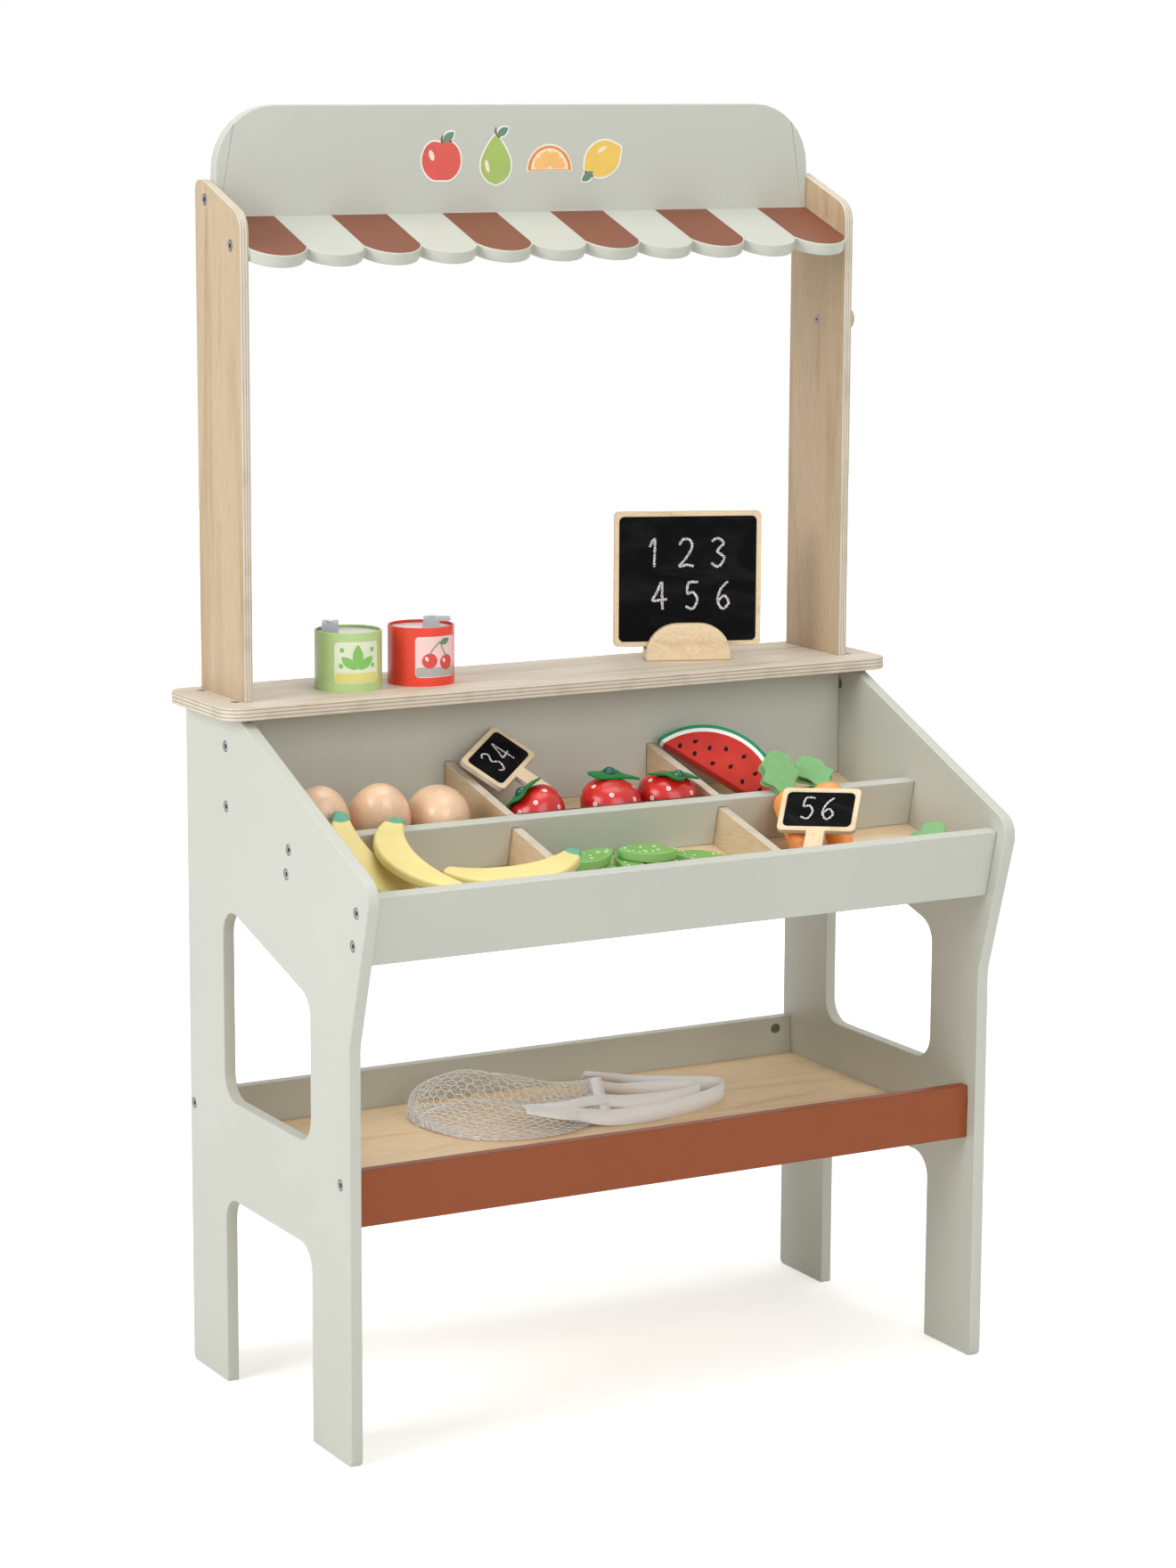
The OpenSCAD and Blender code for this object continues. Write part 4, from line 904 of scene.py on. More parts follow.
def cherry_label(film):
    label_ground(film)
    for x, y in ((-0.0085, -0.0035), (0.0095, -0.0055)):
        film.fill(moved(oval(0.0075, 0.0072), x, y), 2, MOTIF_LIFT, 4)
        film.fill(moved(oval(0.0014, 0.0024), x - 0.003, y + 0.002, 0.5), 4, TOP_LIFT, 2)
        stem = curve_through([(x, y + 0.006), (x * 0.6, y + 0.0115), (0.002, 0.0145)])
        film.stroke(stem, 0.0011, 3, STALK_LIFT)
    film.fill(moved(leaf(0.012, 0.0062), 0.0075, 0.0145, -1.3), 3, TOP_LIFT, 3)


GREEN_FACING, RED_FACING = math.radians(-99), math.radians(-86)
lid_paint = paint("white_lid_paint", tone(232, 232, 230), 0.2, 0.3)
tab_plastic = paint("grey_tab_plastic", tone(176, 179, 184), 0.25, 0.38)
tin("green_can", tone(182, 210, 142), GREEN_FACING, leafy_label,
    ink("label_pale_green", tone(226, 233, 206)), ink("label_yellow", tone(226, 216, 128)),
    ink("label_leaf_green", tone(128, 190, 92)))
tin("red_can", tone(233, 72, 52), RED_FACING, cherry_label,
    ink("label_pink", tone(244, 208, 206)), ink("label_grey", tone(176, 172, 168)),
    ink("label_cherry", tone(214, 66, 58)), ink("label_stalk", tone(96, 140, 92)),
    ink("label_shine", tone(250, 226, 220)))

# %% [markdown]
# ## Chalkboard and signs
# Slate paint on a plywood plate looks black with grey smears where chalk was wiped off. The numbers
# are ribbons, and a coarse noise in their transparency breaks them up as a dry stroke of chalk does.


# %% Slate and chalk
def slate_finish(name):
    finish = Finish(name, Specular_IOR_Level=0.05)
    wiped = finish.noise(16, 5, (1, 1, 2.2), 1.5)
    finish.colour(finish.ramp(wiped, (0.46, tone(9, 9, 11)), (0.8, tone(30, 30, 32))))
    finish.gloss(finish.noise(300, 3), 0.55, 0.75)
    finish.bump(finish.noise(1400, 2), 0.15, 0.0002)
    return finish.material


def chalk_finish(name):
    finish = Finish(name, roughness=0.9)
    grain = finish.noise(1150, 3)
    finish.colour(finish.ramp(grain, (0.3, tone(196, 196, 192)), (0.7, tone(238, 238, 234))))
    cover = finish.node("ShaderNodeMapRange", {"Value": grain, "From Min": 0.4, "From Max": 0.52})
    finish.feed("Alpha", cover.outputs["Result"])
    return finish.material


slate = slate_finish("black_slate")
chalk = chalk_finish("white_chalk")
pale_birch = birch_face("pale_birch", "X", tone(230, 208, 172), tone(212, 184, 142))
print("finishes", slate.name, chalk.name, pale_birch.name)

# %% Digits and where they go
DIGIT_SHAPE = 0.62
DIGITS = {
    "1": [(0.2, 0.72), (0.5, 1.0), (0.5, 0.5), (0.48, 0)],
    "2": [(0.08, 0.78), (0.3, 0.98), (0.68, 0.95), (0.8, 0.7), (0.45, 0.3), (0.08, 0.03), (0.5, 0.07),
          (0.9, 0.02)],
    "3": [(0.1, 0.9), (0.45, 1.0), (0.78, 0.82), (0.42, 0.55), (0.82, 0.32), (0.5, 0), (0.08, 0.12)],
    "4": [(0.66, 0), (0.62, 0.5), (0.6, 1.0), (0.3, 0.62), (0.06, 0.34), (0.5, 0.35), (0.92, 0.37)],
    "5": [(0.85, 0.98), (0.3, 0.97), (0.22, 0.58), (0.55, 0.62), (0.82, 0.35), (0.55, 0.02), (0.12, 0.1)],
    "6": [(0.72, 1.0), (0.3, 0.72), (0.12, 0.3), (0.42, 0), (0.78, 0.22), (0.5, 0.48), (0.16, 0.28)],
}


def slate_lay(node, plate, up=None):
    """The frame of a slate's front face, with its upper end away from the stick."""
    bm, holder = clean_copy(node), clean_copy(plate)
    face = widest_face(bm)
    edge = max(face.edges, key=lambda e: e.calc_length())
    out = face.normal.copy()
    points = [vert.co.copy() for vert in holder.verts]
    centre = face.calc_center_bounds()
    if (centre - sum(points, Vector()) / len(points)).dot(out) < 0:
        out.negate()
        front = [f for f in bm.faces if f.normal.dot(out) > FACE_ON]
        centre = max(front, key=lambda f: f.calc_area()).calc_center_bounds()
    side = (edge.verts[1].co - edge.verts[0].co).normalized()
    ways = [side, -side, side.cross(out), out.cross(side)]

    def stick_side(way):
        reach = [point.dot(way) for point in points]
        return centre.dot(way) - (max(reach) + min(reach)) / 2

    upward = max(ways, key=(lambda way: way.dot(up)) if up else stick_side)
    bm.free()
    holder.free()
    return flat_lay(centre, upward.cross(out), upward, out)


def write(film, digits, left, base, height, step, width):
    for place, digit in enumerate(digits):
        start = left + place * step
        line = [(start + x * height * DIGIT_SHAPE, base + y * height) for x, y in DIGITS[digit]]
        film.stroke(curve_through(line), width, 0, FILM)


print("digits", *DIGITS)

# %% Slates, plates and numbers
SLATE_ROUND, FOOT_ROUND = 0.0003, 0.002
slates = ["chalkboard_slate", "left_sign_slate", "right_sign_slate"]
for node in slates:
    board(node, slate, SLATE_ROUND)
for node, plies in (("chalkboard", 3), ("left_sign", 5), ("right_sign", 5)):
    board(node, pale_birch, PLY_ROUND, plies)
board("chalkboard_foot", pale_birch, FOOT_ROUND)
big = Film(slate_lay("chalkboard_slate", "chalkboard", Vector((0, 0, 1))))
write(big, "123", left=-0.042, base=0.012, height=0.028, step=0.032, width=0.0024)
write(big, "456", left=-0.036, base=-0.03, height=0.027, step=0.032, width=0.0024)
go_with(big.make("chalkboard_numbers", chalk), "chalkboard_slate")
for node, digits in (("left_sign_slate", "34"), ("right_sign_slate", "56")):
    film = Film(slate_lay(node, node.replace("_slate", "")))
    write(film, digits, left=-0.0185, base=-0.0115, height=0.025, step=0.0205, width=0.0019)
    go_with(film.make(node + "_number", chalk), node)
print("numbers written on", len(slates), "slates")

# %% [markdown]
# ## Turned and sanded food
# Eggs, strawberries, carrots, the onion and the garlic are turned from wood. The frame's shapes are
# made of rings, which show as facets close up. A voxel Remesh gives an even mesh, and a Smooth
# modifier takes the steps off, much as sanding does.

# %% Sanding
VOXEL = 0.0013


def applied(obj):
    """Bakes an object's modifiers into its mesh."""
    ready = obj.evaluated_get(bpy.context.evaluated_depsgraph_get())
    mesh = bpy.data.meshes.new_from_object(ready)
    obj.modifiers.clear()
    obj.data = mesh
    mesh.shade_smooth()
    return obj


def sanded(name, bm, material, voxel=VOXEL, passes=12):
    obj = link_bmesh(name, bm, material)
    remesh = obj.modifiers.new("even_mesh", "REMESH")
    remesh.mode = "VOXEL"
    remesh.voxel_size = voxel
    sanding = obj.modifiers.new("sanding", "SMOOTH")
    sanding.factor = 0.5
    sanding.iterations = passes
    return applied(obj)


def lacquer(name, colour, low=0.2, high=0.3):
    """Coloured lacquer on turned wood: glossy, with faint pores under it."""
    finish = Finish(name)
    cloud = finish.ramp(finish.noise(38, 4), (0.28, shade(colour, 0.9)), (0.72, shade(colour, 1.06)))
    pores = finish.ramp(finish.noise(420, 3), (0.28, (0.9, 0.9, 0.9, 1)), (0.42, WHITE))
    finish.colour(finish.times(cloud, pores))
    finish.gloss(finish.noise(70, 3), low, high)
    finish.bump(finish.noise(260, 3), 0.1, 0.0004)
    return finish.material


egg_lacquer = lacquer("egg_lacquer", tone(234, 196, 162), 0.2, 0.32)
eggs = [stand_in(sanded(node + "_turned", plain_copy(node), egg_lacquer), node)
        for node in ("egg_1", "egg_2", "egg_3")]
print("eggs", len(eggs), "vertices", [len(egg.data.vertices) for egg in eggs])

# %% [markdown]
# ## Strawberries
# Each strawberry is a lacquered body with painted dots, a felt leaf and a bead on top. The dots are
# spread with the golden angle, which never lines up, and each is laid on the nearest surface. The
# leaf is a flat cut-out in the frame: here its tips droop and wave a little, because felt is soft.


# %% Felt and small drawings
def felt(name, colour):
    """Pressed wool: short fibres, patchy and almost without gloss."""
    finish = Finish(name, roughness=0.95, Specular_IOR_Level=0.15, Sheen_Weight=0.12, Sheen_Roughness=0.5)
    fibres = finish.noise(1300, 4, (1, 1, 1), 2.0)
    tint = finish.drift(WHITE, finish.noise(140, 3), 0.92, 1)
    finish.colour(finish.times(finish.drift(colour, fibres, 0.78, 1.15), tint))
    finish.bump(fibres, 0.6, 0.0005)
    return finish.material


def surface_of(obj):
    corners = [vert.co for vert in obj.data.vertices]
    return BVHTree.FromPolygons(corners, [tuple(polygon.vertices) for polygon in obj.data.polygons])


def lay_on(surface, spot, out):
    """A lay that puts a small drawing on the nearest points of a curved surface."""
    side = out.orthogonal().normalized()
    other = out.cross(side)

    def lay(a, b, lift):
        place, normal = surface.find_nearest(spot + side * a + other * b)[:2]
        return place + normal * lift
    return lay


dark_felt = felt("dark_green_felt", tone(6, 118, 48))
print("felt", dark_felt.name)

# %% Painted dots
DOTS, DOT_R, DOT_MIDDLE_R = 34, 0.0023, 0.0012
DOT_MIDDLE_LIFT = FILM * 1.8
GOLDEN = math.pi * (3 - math.sqrt(5))
UNDER_LEAF = 0.82
berry_red = lacquer("strawberry_lacquer", tone(200, 36, 30), 0.2, 0.3)
dot_white, dot_pink = ink("dot_white", tone(240, 228, 226)), ink("dot_pink", tone(216, 176, 180))


def dots_on(berry, node):
    surface, centre = surface_of(berry), centre_of(node)
    stem = (centre_of(node + "_leaf") - centre).normalized()
    film = Film(None)
    for k in range(DOTS):
        high = 1 - 2 * (k + 0.5) / DOTS
        wide = math.sqrt(1 - high * high)
        way = Vector((wide * math.cos(k * GOLDEN), wide * math.sin(k * GOLDEN), high))
        spot, normal = surface.ray_cast(centre, way)[:2]
        if way.dot(stem) > UNDER_LEAF or spot is None:
            continue
        film.lay = lay_on(surface, spot, normal)
        film.fill(oval(DOT_R, DOT_R, 16), 0, FILM, 2)
        film.fill(oval(DOT_MIDDLE_R, DOT_MIDDLE_R, 12), 1, DOT_MIDDLE_LIFT, 2)
    go_with(film.make(node + "_dots", dot_white, dot_pink), node)
    return len(film.faces)


print("dots tried on each strawberry", DOTS)

# %% Leaves and beads
FELT, FELT_VOXEL = 0.002, 0.0008
DROOP, WAVE, WAVES = 0.0022, 0.0016, 3
BEAD_R, BEAD_H, BEAD_LOBES, BEAD_SWELL, BEAD_SUNK = 0.0058, 0.0048, 5, 0.06, -0.2
bead_teal = lacquer("bead_lacquer", tone(18, 84, 70), 0.12, 0.2)


def felt_leaf(node):
    """A leaf cut from felt; gives the middle of its underside and the way up."""
    cut = clean_copy(node)
    under = widest_face(cut)
    out = -under.normal
    outline = [vert.co.copy() for vert in under.verts]
    middle = sum(outline, Vector()) / len(outline)
    reach = max((point - middle).length for point in outline)
    cut.free()
    sheet = bmesh.new()
    lower = [sheet.verts.new(point) for point in outline]
    upper = [sheet.verts.new(point + out * FELT) for point in outline]
    sheet.faces.new(lower)
    sheet.faces.new(list(reversed(upper)))
    for i in range(len(outline)):
        j = (i + 1) % len(outline)
        sheet.faces.new((lower[j], lower[i], upper[i], upper[j]))
    bmesh.ops.recalc_face_normals(sheet, faces=sheet.faces)
    piece = sanded(node + "_felt", sheet, dark_felt, FELT_VOXEL, passes=3)
    side = out.orthogonal().normalized()
    for vert in piece.data.vertices:
        flat = vert.co - middle
        flat -= out * flat.dot(out)
        share = (flat.length / reach) ** 2
        angle = math.atan2(flat.dot(out.cross(side)), flat.dot(side))
        vert.co += out * share * (WAVE * math.sin(WAVES * angle + reach) - DROOP)
    stand_in(piece, node)
    return middle, out


def bead_on(name, node, middle, out):
    bead = bmesh.new()
    bmesh.ops.create_uvsphere(bead, u_segments=28, v_segments=16, radius=1)
    turn = out.to_track_quat("Z", "Y").to_matrix()
    for vert in bead.verts:
        x, y, z = vert.co
        round_r = BEAD_R * (1 + BEAD_SWELL * math.cos(BEAD_LOBES * math.atan2(y, x)))
        shaped = Vector((x * round_r, y * round_r, max(z, BEAD_SUNK) * BEAD_H))
        vert.co = middle + out * FELT + turn @ shaped
    go_with(link_bmesh(name, bead, bead_teal), node)


def strawberry(node):
    berry = stand_in(sanded(node + "_turned", plain_copy(node), berry_red), node)
    dot_faces = dots_on(berry, node)
    bead_on(node + "_bead", node + "_leaf", *felt_leaf(node + "_leaf"))
    return dot_faces


berries = ["strawberry_1", "strawberry_2", "strawberry_3"]
print("strawberries, dot faces", [strawberry(node) for node in berries])

# %% [markdown]
# ## Bananas, pods and carrots
# Bananas and pods are sawn shapes with softened edges, and carrots are turned and sanded. A banana's
# stem end is dipped in another colour, so its material measures the distance to that end. Pods carry
# pale flecks, and carrots short marks: both come from the cells of a Voronoi texture.

# %% Bananas
TIP = 0.014
BANANA_ROUND = 0.0032
BANANA_YELLOW, BANANA_TIP = tone(232, 214, 140), tone(96, 164, 134)


def dipped(name, colour, tip_colour, end):
    finish = Finish(name)
    away = finish.distance(end)
    near = finish.math("LESS_THAN", away, TIP)
    finish.colour(finish.mix(near, finish.drift(colour, finish.noise(22, 4), 0.93, 1.05), tip_colour))
    finish.gloss(finish.noise(90, 3), 0.42, 0.56)
    finish.bump(finish.noise(380, 3), 0.12, 0.0004)
    return finish.material


def stem_end(node):
    """The middle of the higher of a banana's two ends."""
    points = [vert.co for vert in frame["nodes"][node].data.vertices]
    middle = sum(points, Vector()) / len(points)
    first = max(points, key=lambda p: (p - middle).length)
    last = max(points, key=lambda p: (p - first).length)
    stem = max((first, last), key=lambda p: p.z)
    nearby = [p for p in points if (p - stem).length < TIP]
    return sum(nearby, Vector()) / len(nearby)


bananas = ["banana_1", "banana_2", "banana_3"]
for node in bananas:
    coat = dipped(node + "_paint", BANANA_YELLOW, BANANA_TIP, stem_end(node))
    obj = link_bmesh(node + "_sawn", clean_copy(node), coat)
    stand_in(round_edges(obj, BANANA_ROUND, segments=3), node)
print("bananas", len(bananas))


# %% Pods
def flecked(name, colour, fleck_colour, scale, stretch, size):
    finish = Finish(name)
    cells = finish.node("ShaderNodeTexVoronoi", {"Vector": finish.stretched(stretch), "Scale": scale})
    fleck = finish.math("LESS_THAN", cells.outputs["Distance"], size)
    finish.colour(finish.mix(fleck, finish.drift(colour, finish.noise(40, 3), 0.92, 1.06), fleck_colour))
    finish.gloss(finish.noise(80, 2), 0.36, 0.5)
    finish.bump(finish.noise(400, 3), 0.1, 0.0004)
    return finish.material


POD_FACE, POD_ROUND = 0.0002, 0.001
pod_face = flecked("pod_face_paint", tone(118, 172, 84), tone(206, 222, 186), 150, (1, 1, 1), 0.24)
pod_side = paint("pod_side_paint", tone(140, 192, 116), 0.4, 0.52)
bm = clean_copy("pea_pods")
for polygon in bm.faces:
    polygon.material_index = 0 if polygon.calc_area() > POD_FACE else 1
pods = link_bmesh("pea_pods_sawn", bm, pod_face, pod_side)
stand_in(round_edges(pods, POD_ROUND, material=1), "pea_pods")
print("pod faces", len(pods.data.polygons))

# %% Carrots
carrot_paint = flecked("carrot_lacquer", tone(243, 158, 80), tone(249, 190, 126), 110, (1, 1, 2.5), 0.2)
light_felt = felt("light_green_felt", tone(136, 190, 128))
carrots = ["carrot_1", "carrot_2", "carrot_3"]
for node in carrots:
    stand_in(sanded(node + "_turned", plain_copy(node), carrot_paint), node)
    leaves = sanded(node + "_leaf_felt", plain_copy(node + "_leaf"), light_felt, FELT_VOXEL, passes=4)
    stand_in(leaves, node + "_leaf")
print("carrots", len(carrots))

# %% [markdown]
# ## Watermelon slice
# The slice is a round plate with one straight cut. Its material works from the middle of the round:
# near the edge comes a white ring and then the green rind. Seeds are drop-shaped films on both faces.

# %% Watermelon
RIND, PITH = 0.0024, 0.0062
MELON_ROUND = 0.0012
bm = clean_copy("watermelon_slice")
plate = widest_face(bm)
out = plate.normal.copy()
chord = max(plate.edges, key=lambda e: e.calc_length())
along_cut = (chord.verts[1].co - chord.verts[0].co).normalized()
cut_middle = (chord.verts[0].co + chord.verts[1].co) / 2
to_rind = out.cross(along_cut)
if (plate.calc_center_bounds() - cut_middle).dot(to_rind) < 0:
    to_rind.negate()
    along_cut.negate()
tall = max((vert.co - cut_middle).dot(to_rind) for vert in plate.verts)
half_cut = chord.calc_length() / 2
melon_radius = (tall * tall + half_cut * half_cut) / (2 * tall)
melon_middle = cut_middle + to_rind * (tall - melon_radius)
depths = [(vert.co - cut_middle).dot(out) for vert in bm.verts]


def melon_finish(name):
    finish = Finish(name, Specular_IOR_Level=0.25)
    inward = finish.math("SUBTRACT", melon_radius, finish.distance(melon_middle))
    red = finish.ramp(finish.noise(45, 4), (0.3, tone(188, 42, 32)), (0.7, tone(202, 54, 40)))
    pale = finish.mix(finish.math("LESS_THAN", inward, PITH), red, tone(240, 242, 236))
    finish.colour(finish.mix(finish.math("LESS_THAN", inward, RIND), pale, tone(28, 138, 96)))
    finish.gloss(finish.noise(80, 3), 0.3, 0.42)
    finish.bump(finish.noise(300, 3), 0.1, 0.0004)
    return finish.material


melon = link_bmesh("watermelon_slice_sawn", bm, melon_finish("watermelon_paint"))
stand_in(round_edges(melon, MELON_ROUND), "watermelon_slice")
print("melon radius", round(melon_radius, 4))

# %% Seeds
SEEDS = [(-0.66, 0.2), (-0.46, 0.44), (-0.36, 0.16), (-0.16, 0.62), (-0.08, 0.3), (0.14, 0.56), (0.18, 0.16),
         (0.36, 0.4), (0.5, 0.14), (0.6, 0.36), (0.76, 0.12)]
SEED_W, SEED_LONG, SEED_LEAN, SEED_SWING, SEED_SPREAD = 0.0021, 0.0062, 0.5, 2.3, 0.9
seed_black = ink("seed_black", tone(16, 12, 12), Specular_IOR_Level=0.1)
seed = both_sides(lambda t: SEED_W * math.sin(math.pi * t) ** 0.7 * (1.25 - 0.7 * t), SEED_LONG, 8)
for name, depth, way in (("front", max(depths), out), ("back", min(depths), -out)):
    film = Film(flat_lay(cut_middle + out * depth, along_cut, to_rind, way))
    for number, (a, b) in enumerate(SEEDS):
        lean = SEED_LEAN * math.sin(SEED_SWING * number)
        film.fill(moved(seed, a * half_cut * SEED_SPREAD, b * tall, lean), 0, FILM, 2)
    go_with(film.make("watermelon_seeds_" + name, seed_black), "watermelon_slice")
print("seeds", 2 * len(SEEDS))

# %% [markdown]
# ## Onion and garlic
# One node holds both bulbs, so the copy is taken apart into its two loose shapes. They are sanded one
# by one and joined again with a skin each: dry, with thin lines from root to tip.


# %% Skins and loose shapes
def bulb_skin(name, colour, line_colour):
    finish = Finish(name)
    lines = finish.noise(150, 3, (1, 1, 0.12), 0.4)
    finish.colour(finish.ramp(lines, (0.36, line_colour), (0.56, colour)))
    finish.gloss(lines, 0.3, 0.45)
    finish.bump(lines, 0.15, 0.0005)
    return finish.material


def loose_shapes(bm):
    """The separate shapes of a mesh, from left to right."""
    left_over, shapes = set(bm.verts), []
    while left_over:
        shape, waiting = set(), [left_over.pop()]
        while waiting:
            vert = waiting.pop()
            shape.add(vert)
            joined = [edge.other_vert(vert) for edge in vert.link_edges]
            waiting += [other for other in joined if other in left_over]
            left_over.difference_update(joined)
        shapes.append({vert.index for vert in shape})
    return sorted(shapes, key=lambda shape: sum(bm.verts[i].co.x for i in sorted(shape)) / len(shape))


skins = [bulb_skin("onion_skin", tone(136, 84, 78), tone(98, 54, 56)),
         bulb_skin("garlic_skin", tone(232, 226, 218), tone(206, 190, 190))]
print("skins", [skin.name for skin in skins])

# %% Onion and garlic
whole = plain_copy("onion_and_garlic")
whole.verts.ensure_lookup_table()
whole.verts.index_update()
both = bmesh.new()
for number, shape in enumerate(loose_shapes(whole)):
    single = whole.copy()
    single.verts.ensure_lookup_table()
    bmesh.ops.delete(single, geom=[vert for vert in single.verts if vert.index not in shape], context="VERTS")
    bulb = sanded("bulb", single, skins[number])
    before = len(both.faces)
    both.from_mesh(bulb.data)
    both.faces.ensure_lookup_table()
    for polygon in both.faces[before:]:
        polygon.material_index = number
    bpy.data.objects.remove(bulb)
whole.free()
stand_in(link_bmesh("onion_and_garlic_turned", both, *skins), "onion_and_garlic")
print("bulbs", len(skins))

# %% [markdown]
# ## Net bag
# A string bag lies on the shelf. Its shell is lofted from a few stations, each with a near edge, a far
# edge and a height, so it sags to the front and stays puffed at the back. Rings of zigzag thread follow
# the shell, and short bars join one ring to the next: together they make the six-sided gaps of a net.
# A texture could fake the gaps, but real threads cast real shadows.

# %% Bag shell
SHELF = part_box("net_bag")[0][2]
STATIONS = [
    (-0.1460, 0.092, 0.104, 0.012), (-0.1400, 0.060, 0.132, 0.027), (-0.1230, 0.026, 0.149, 0.042),
    (-0.0900, 0.007, 0.154, 0.047), (-0.0550, 0.001, 0.148, 0.040), (-0.0200, 0.004, 0.136, 0.030),
    (0.0080, 0.016, 0.126, 0.026), (0.0340, 0.026, 0.120, 0.025)]
SLANT = 0.34
THREAD_R = 0.0005
CREASE_AT, CREASE_W, CREASE_DEEP = 1.68, 0.2, 0.2
UNDERSIDE = 0.0016
PUFF, PUFF_BACK, PUFF_ROUND = 0.74, 0.34, 0.7
BIG_WAVE, BIG_ROUND, BIG_ALONG = 0.0034, 3.2, 9
SMALL_WAVE, SMALL_ROUND, SMALL_ALONG = 0.0016, 8, 16


def station(share):
    """Place along the bag, near and far edge and height, read smoothly between stations."""
    spot = share * (len(STATIONS) - 1)
    first = min(int(spot), len(STATIONS) - 2)
    around = [STATIONS[min(max(first + k, 0), len(STATIONS) - 1)] for k in (-1, 0, 1, 2)]
    return [between(*four, spot - first) for four in zip(*around)]


def shell(share, angle):
    """A point of the bag, by its share of the length and the angle round it."""
    x, near, far, tall = station(share)
    middle, half_w = (near + far) / 2, (far - near) / 2
    y = middle + half_w * math.cos(angle)
    x += SLANT * (y - middle) * share * share
    rise = math.sin(angle)
    if rise > 0:
        crease = CREASE_DEEP * math.exp(-((angle - CREASE_AT) / CREASE_W) ** 2)
        puff = tall * rise ** PUFF_ROUND * (PUFF + PUFF_BACK * math.cos(angle) - crease)
        waves = BIG_WAVE * math.sin(BIG_ROUND * angle + BIG_ALONG * share)
        waves += SMALL_WAVE * math.sin(SMALL_ROUND * angle - SMALL_ALONG * share)
        z = THREAD_R + UNDERSIDE + puff + waves * math.sin(math.pi * share) * rise
    else:
        z = THREAD_R + UNDERSIDE * (1 + rise)
    return Vector((x, y, SHELF + z))


print("bag mouth at x", round(shell(1, 0).x, 3))

# %% Net
RINGS, GAPS = 29, 41
ZIGZAG = 1 / 6


def net_curve():
    curve = bpy.data.curves.new("net", "CURVE")
    curve.dimensions = "3D"
    curve.bevel_depth = THREAD_R
    curve.bevel_resolution = 0

    def knot(ring, k):
        lean = (1 if (ring + k) % 2 == 0 else -1) * ZIGZAG
        return shell(min(max((ring + 0.5 + lean) / RINGS, 0), 1), TURN_FULL * k / (2 * GAPS))

    def thread(points, closed):
        spline = curve.splines.new("POLY")
        spline.points.add(len(points) - 1)
        for point, place in zip(spline.points, points):
            point.co = (*place, 1)
        spline.use_cyclic_u = closed

    for ring in range(RINGS):
        thread([knot(ring, k) for k in range(2 * GAPS)], True)
        if ring + 1 < RINGS:
            for k in range(ring % 2, 2 * GAPS, 2):
                thread([knot(ring, k), knot(ring + 1, k)], False)
    return curve


def cotton(name, colour):
    finish = Finish(name, roughness=0.9, Sheen_Weight=0.6, Sheen_Roughness=0.6, Subsurface_Weight=0.8,
                    Subsurface_Radius=(0.004, 0.0037, 0.0035), Subsurface_Scale=1.0)
    weave = finish.noise(1500, 2, (1, 1, 1), 1.0)
    finish.colour(finish.drift(colour, weave, 0.92, 1.02))
    finish.bump(weave, 0.4, 0.0003)
    return finish.material


net_cotton = cotton("net_cotton", tone(252, 249, 245))
band_cotton = cotton("band_cotton", tone(248, 247, 249))
net = bpy.data.objects.new("net_bag_net", net_curve())
scene.collection.objects.link(net)
ready = net.evaluated_get(bpy.context.evaluated_depsgraph_get())
net_mesh = bpy.data.meshes.new_from_object(ready)
bpy.data.objects.remove(net)
stand_in(link_mesh("net_bag_net", net_mesh, net_cotton), "net_bag")
print("net faces", len(net_mesh.polygons))

# %% [markdown]
# ## Hem and handles
# A woven band closes the mouth, and two loops of the same band are the handles. A band is drawn as a
# line with a width direction at every point, so that it can stand on edge at the end of its loop and lie
# flatter where it is sewn on. Solidify gives it the thickness of the cloth.

# %% Bands
BAND_T = 0.0009
HANDLE_W, HEM_W = 0.017, 0.013


def band(name, middle_line, width_ways, width, material):
    points, faces = [], []
    for place, way in zip(middle_line, width_ways):
        points += [place - way * width / 2, place, place + way * width / 2]
    for i in range(len(middle_line) - 1):
        for side in (0, 1):
            a = 3 * i + side
            faces.append((a, a + 1, a + 4, a + 3))
    mesh = bpy.data.meshes.new(name)
    mesh.from_pydata(points, [], faces)
    obj = link_mesh(name, mesh, material)
    cloth = obj.modifiers.new("cloth_thickness", "SOLIDIFY")
    cloth.thickness = BAND_T
    cloth.offset = 0
    go_with(obj, "net_bag")
    return obj


def run_length(line):
    return sum((b - a).length for a, b in zip(line, line[1:]))


print("band widths", HANDLE_W, HEM_W)


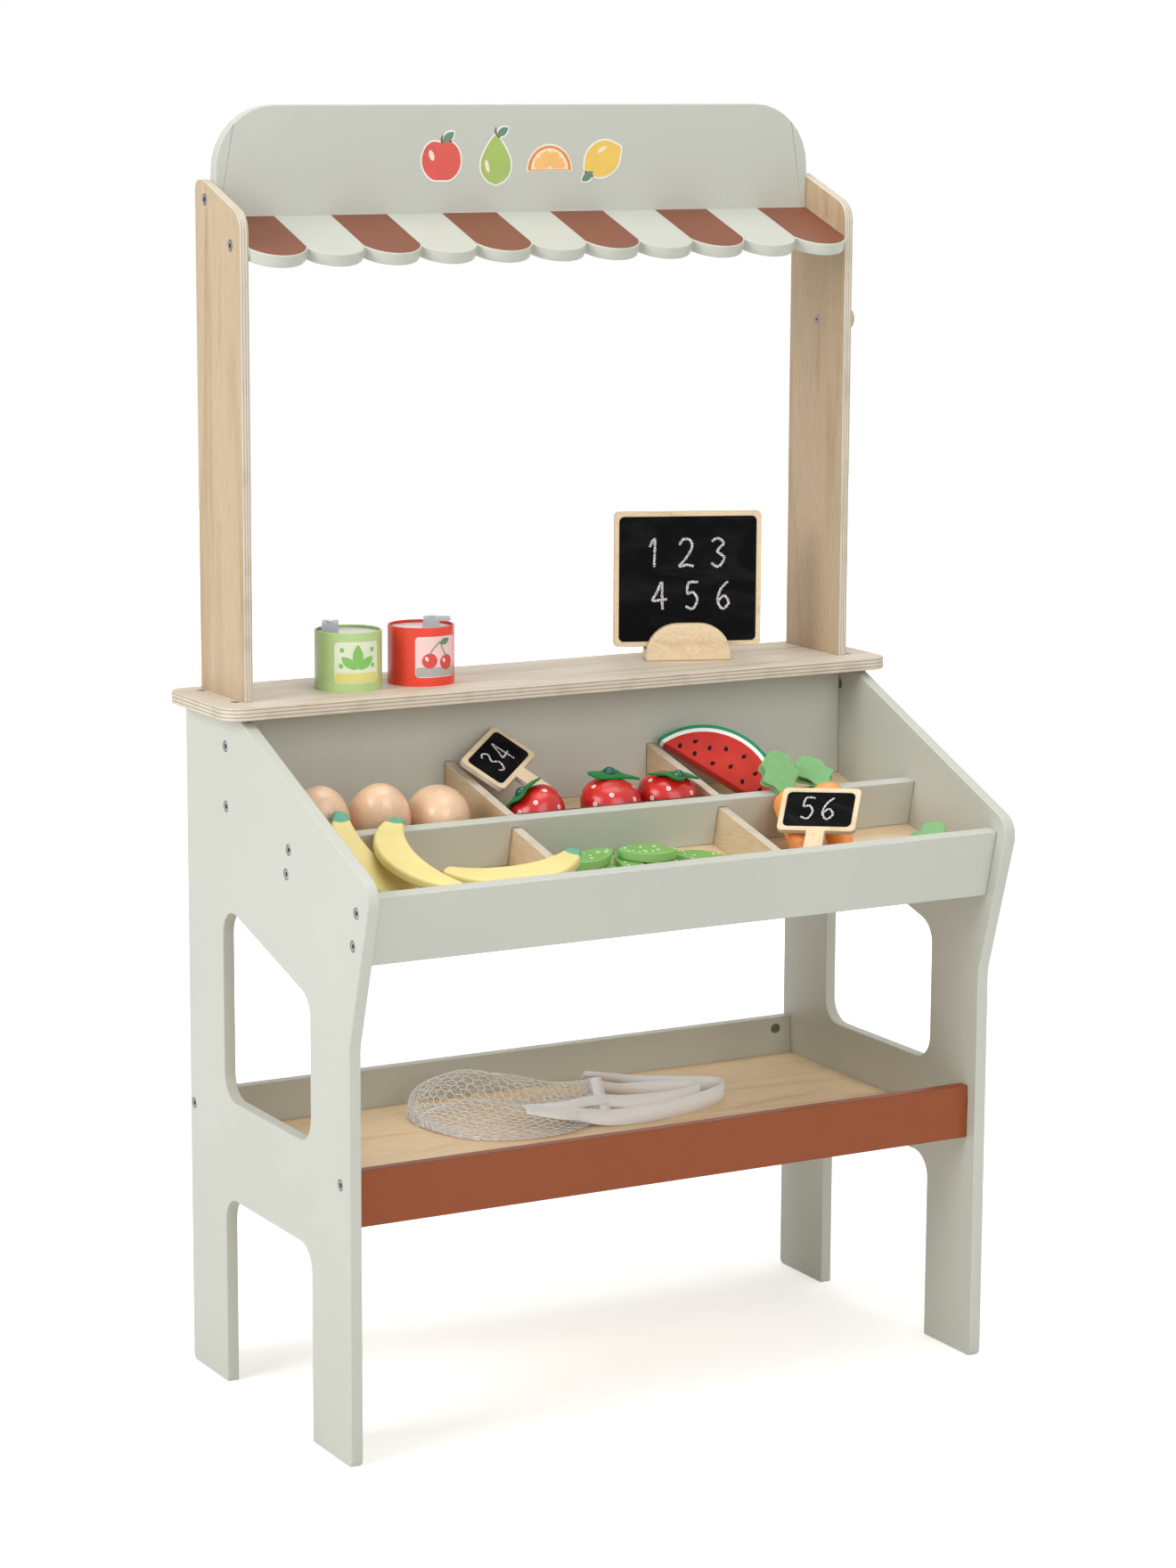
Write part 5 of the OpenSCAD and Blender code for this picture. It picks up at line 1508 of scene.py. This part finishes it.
# %% Handles
def handle(name, stops):
    """stops are x, y, height over the shelf and how upright the band stands, from 0 to 1."""
    line4 = curve_through(stops, steps=8)
    line = [Vector((p[0], p[1], SHELF + p[2])) for p in line4]
    ways = []
    for i in range(len(line)):
        ahead = line[min(i + 1, len(line) - 1)] - line[max(i - 1, 0)]
        level = Vector((-ahead.y, ahead.x, 0)).normalized()
        upright = min(max(line4[i][3], 0), 1) * math.pi / 2
        ways.append(level * math.cos(upright) + Vector((0, 0, math.sin(upright))))
    obj = band(name, line, ways, HANDLE_W, band_cotton)
    run_length(line)
    print(name, "length", round(run_length(line), 3))


def sewn_on(share, angle, upright):
    """A stop of a handle that lies on the net."""
    place = shell(share, angle)
    return place.x, place.y, place.z - SHELF + BAND_T, upright


handle("net_bag_near_handle", [
    sewn_on(0.56, 2.20, 0.12), sewn_on(0.70, 2.44, 0.25), sewn_on(0.84, 2.56, 0.40),
    (0.022, 0.012, 0.0080, 0.55), (0.065, 0.009, 0.0090, 0.80), (0.112, 0.018, 0.0092, 0.92),
    (0.152, 0.036, 0.0094, 1.0), (0.172, 0.056, 0.0094, 1.0), (0.166, 0.071, 0.0096, 1.0),
    (0.140, 0.083, 0.0110, 0.85), (0.104, 0.098, 0.0140, 0.62), (0.070, 0.111, 0.0200, 0.45),
    (0.046, 0.116, 0.0240, 0.40)])
handle("net_bag_far_handle", [
    sewn_on(0.56, 2.16, 0.12), sewn_on(0.74, 2.10, 0.16), sewn_on(0.95, 2.08, 0.20),
    (0.066, 0.044, 0.0110, 0.45), (0.104, 0.042, 0.0092, 0.80), (0.134, 0.049, 0.0092, 0.95),
    (0.149, 0.063, 0.0094, 1.0), (0.142, 0.073, 0.0094, 1.0), (0.112, 0.084, 0.0090, 0.88),
    (0.082, 0.095, 0.0095, 0.65), (0.052, 0.104, 0.0130, 0.40)])

# %% Hem
HEM_STEPS, HEM_INSIDE = 72, 0.97
hem_line, hem_ways = [], []
for k in range(HEM_STEPS + 1):
    angle = TURN_FULL * k / HEM_STEPS
    mouth, inside = shell(1, angle), shell(HEM_INSIDE, angle)
    hem_ways.append((mouth - inside).normalized())
    hem_line.append(mouth + hem_ways[-1] * HEM_W / 2 + Vector((0, 0, BAND_T)))
hem = band("net_bag_hem", hem_line, hem_ways, HEM_W, band_cotton)
run_length(hem_line)
print("hem length", round(run_length(hem_line), 3))
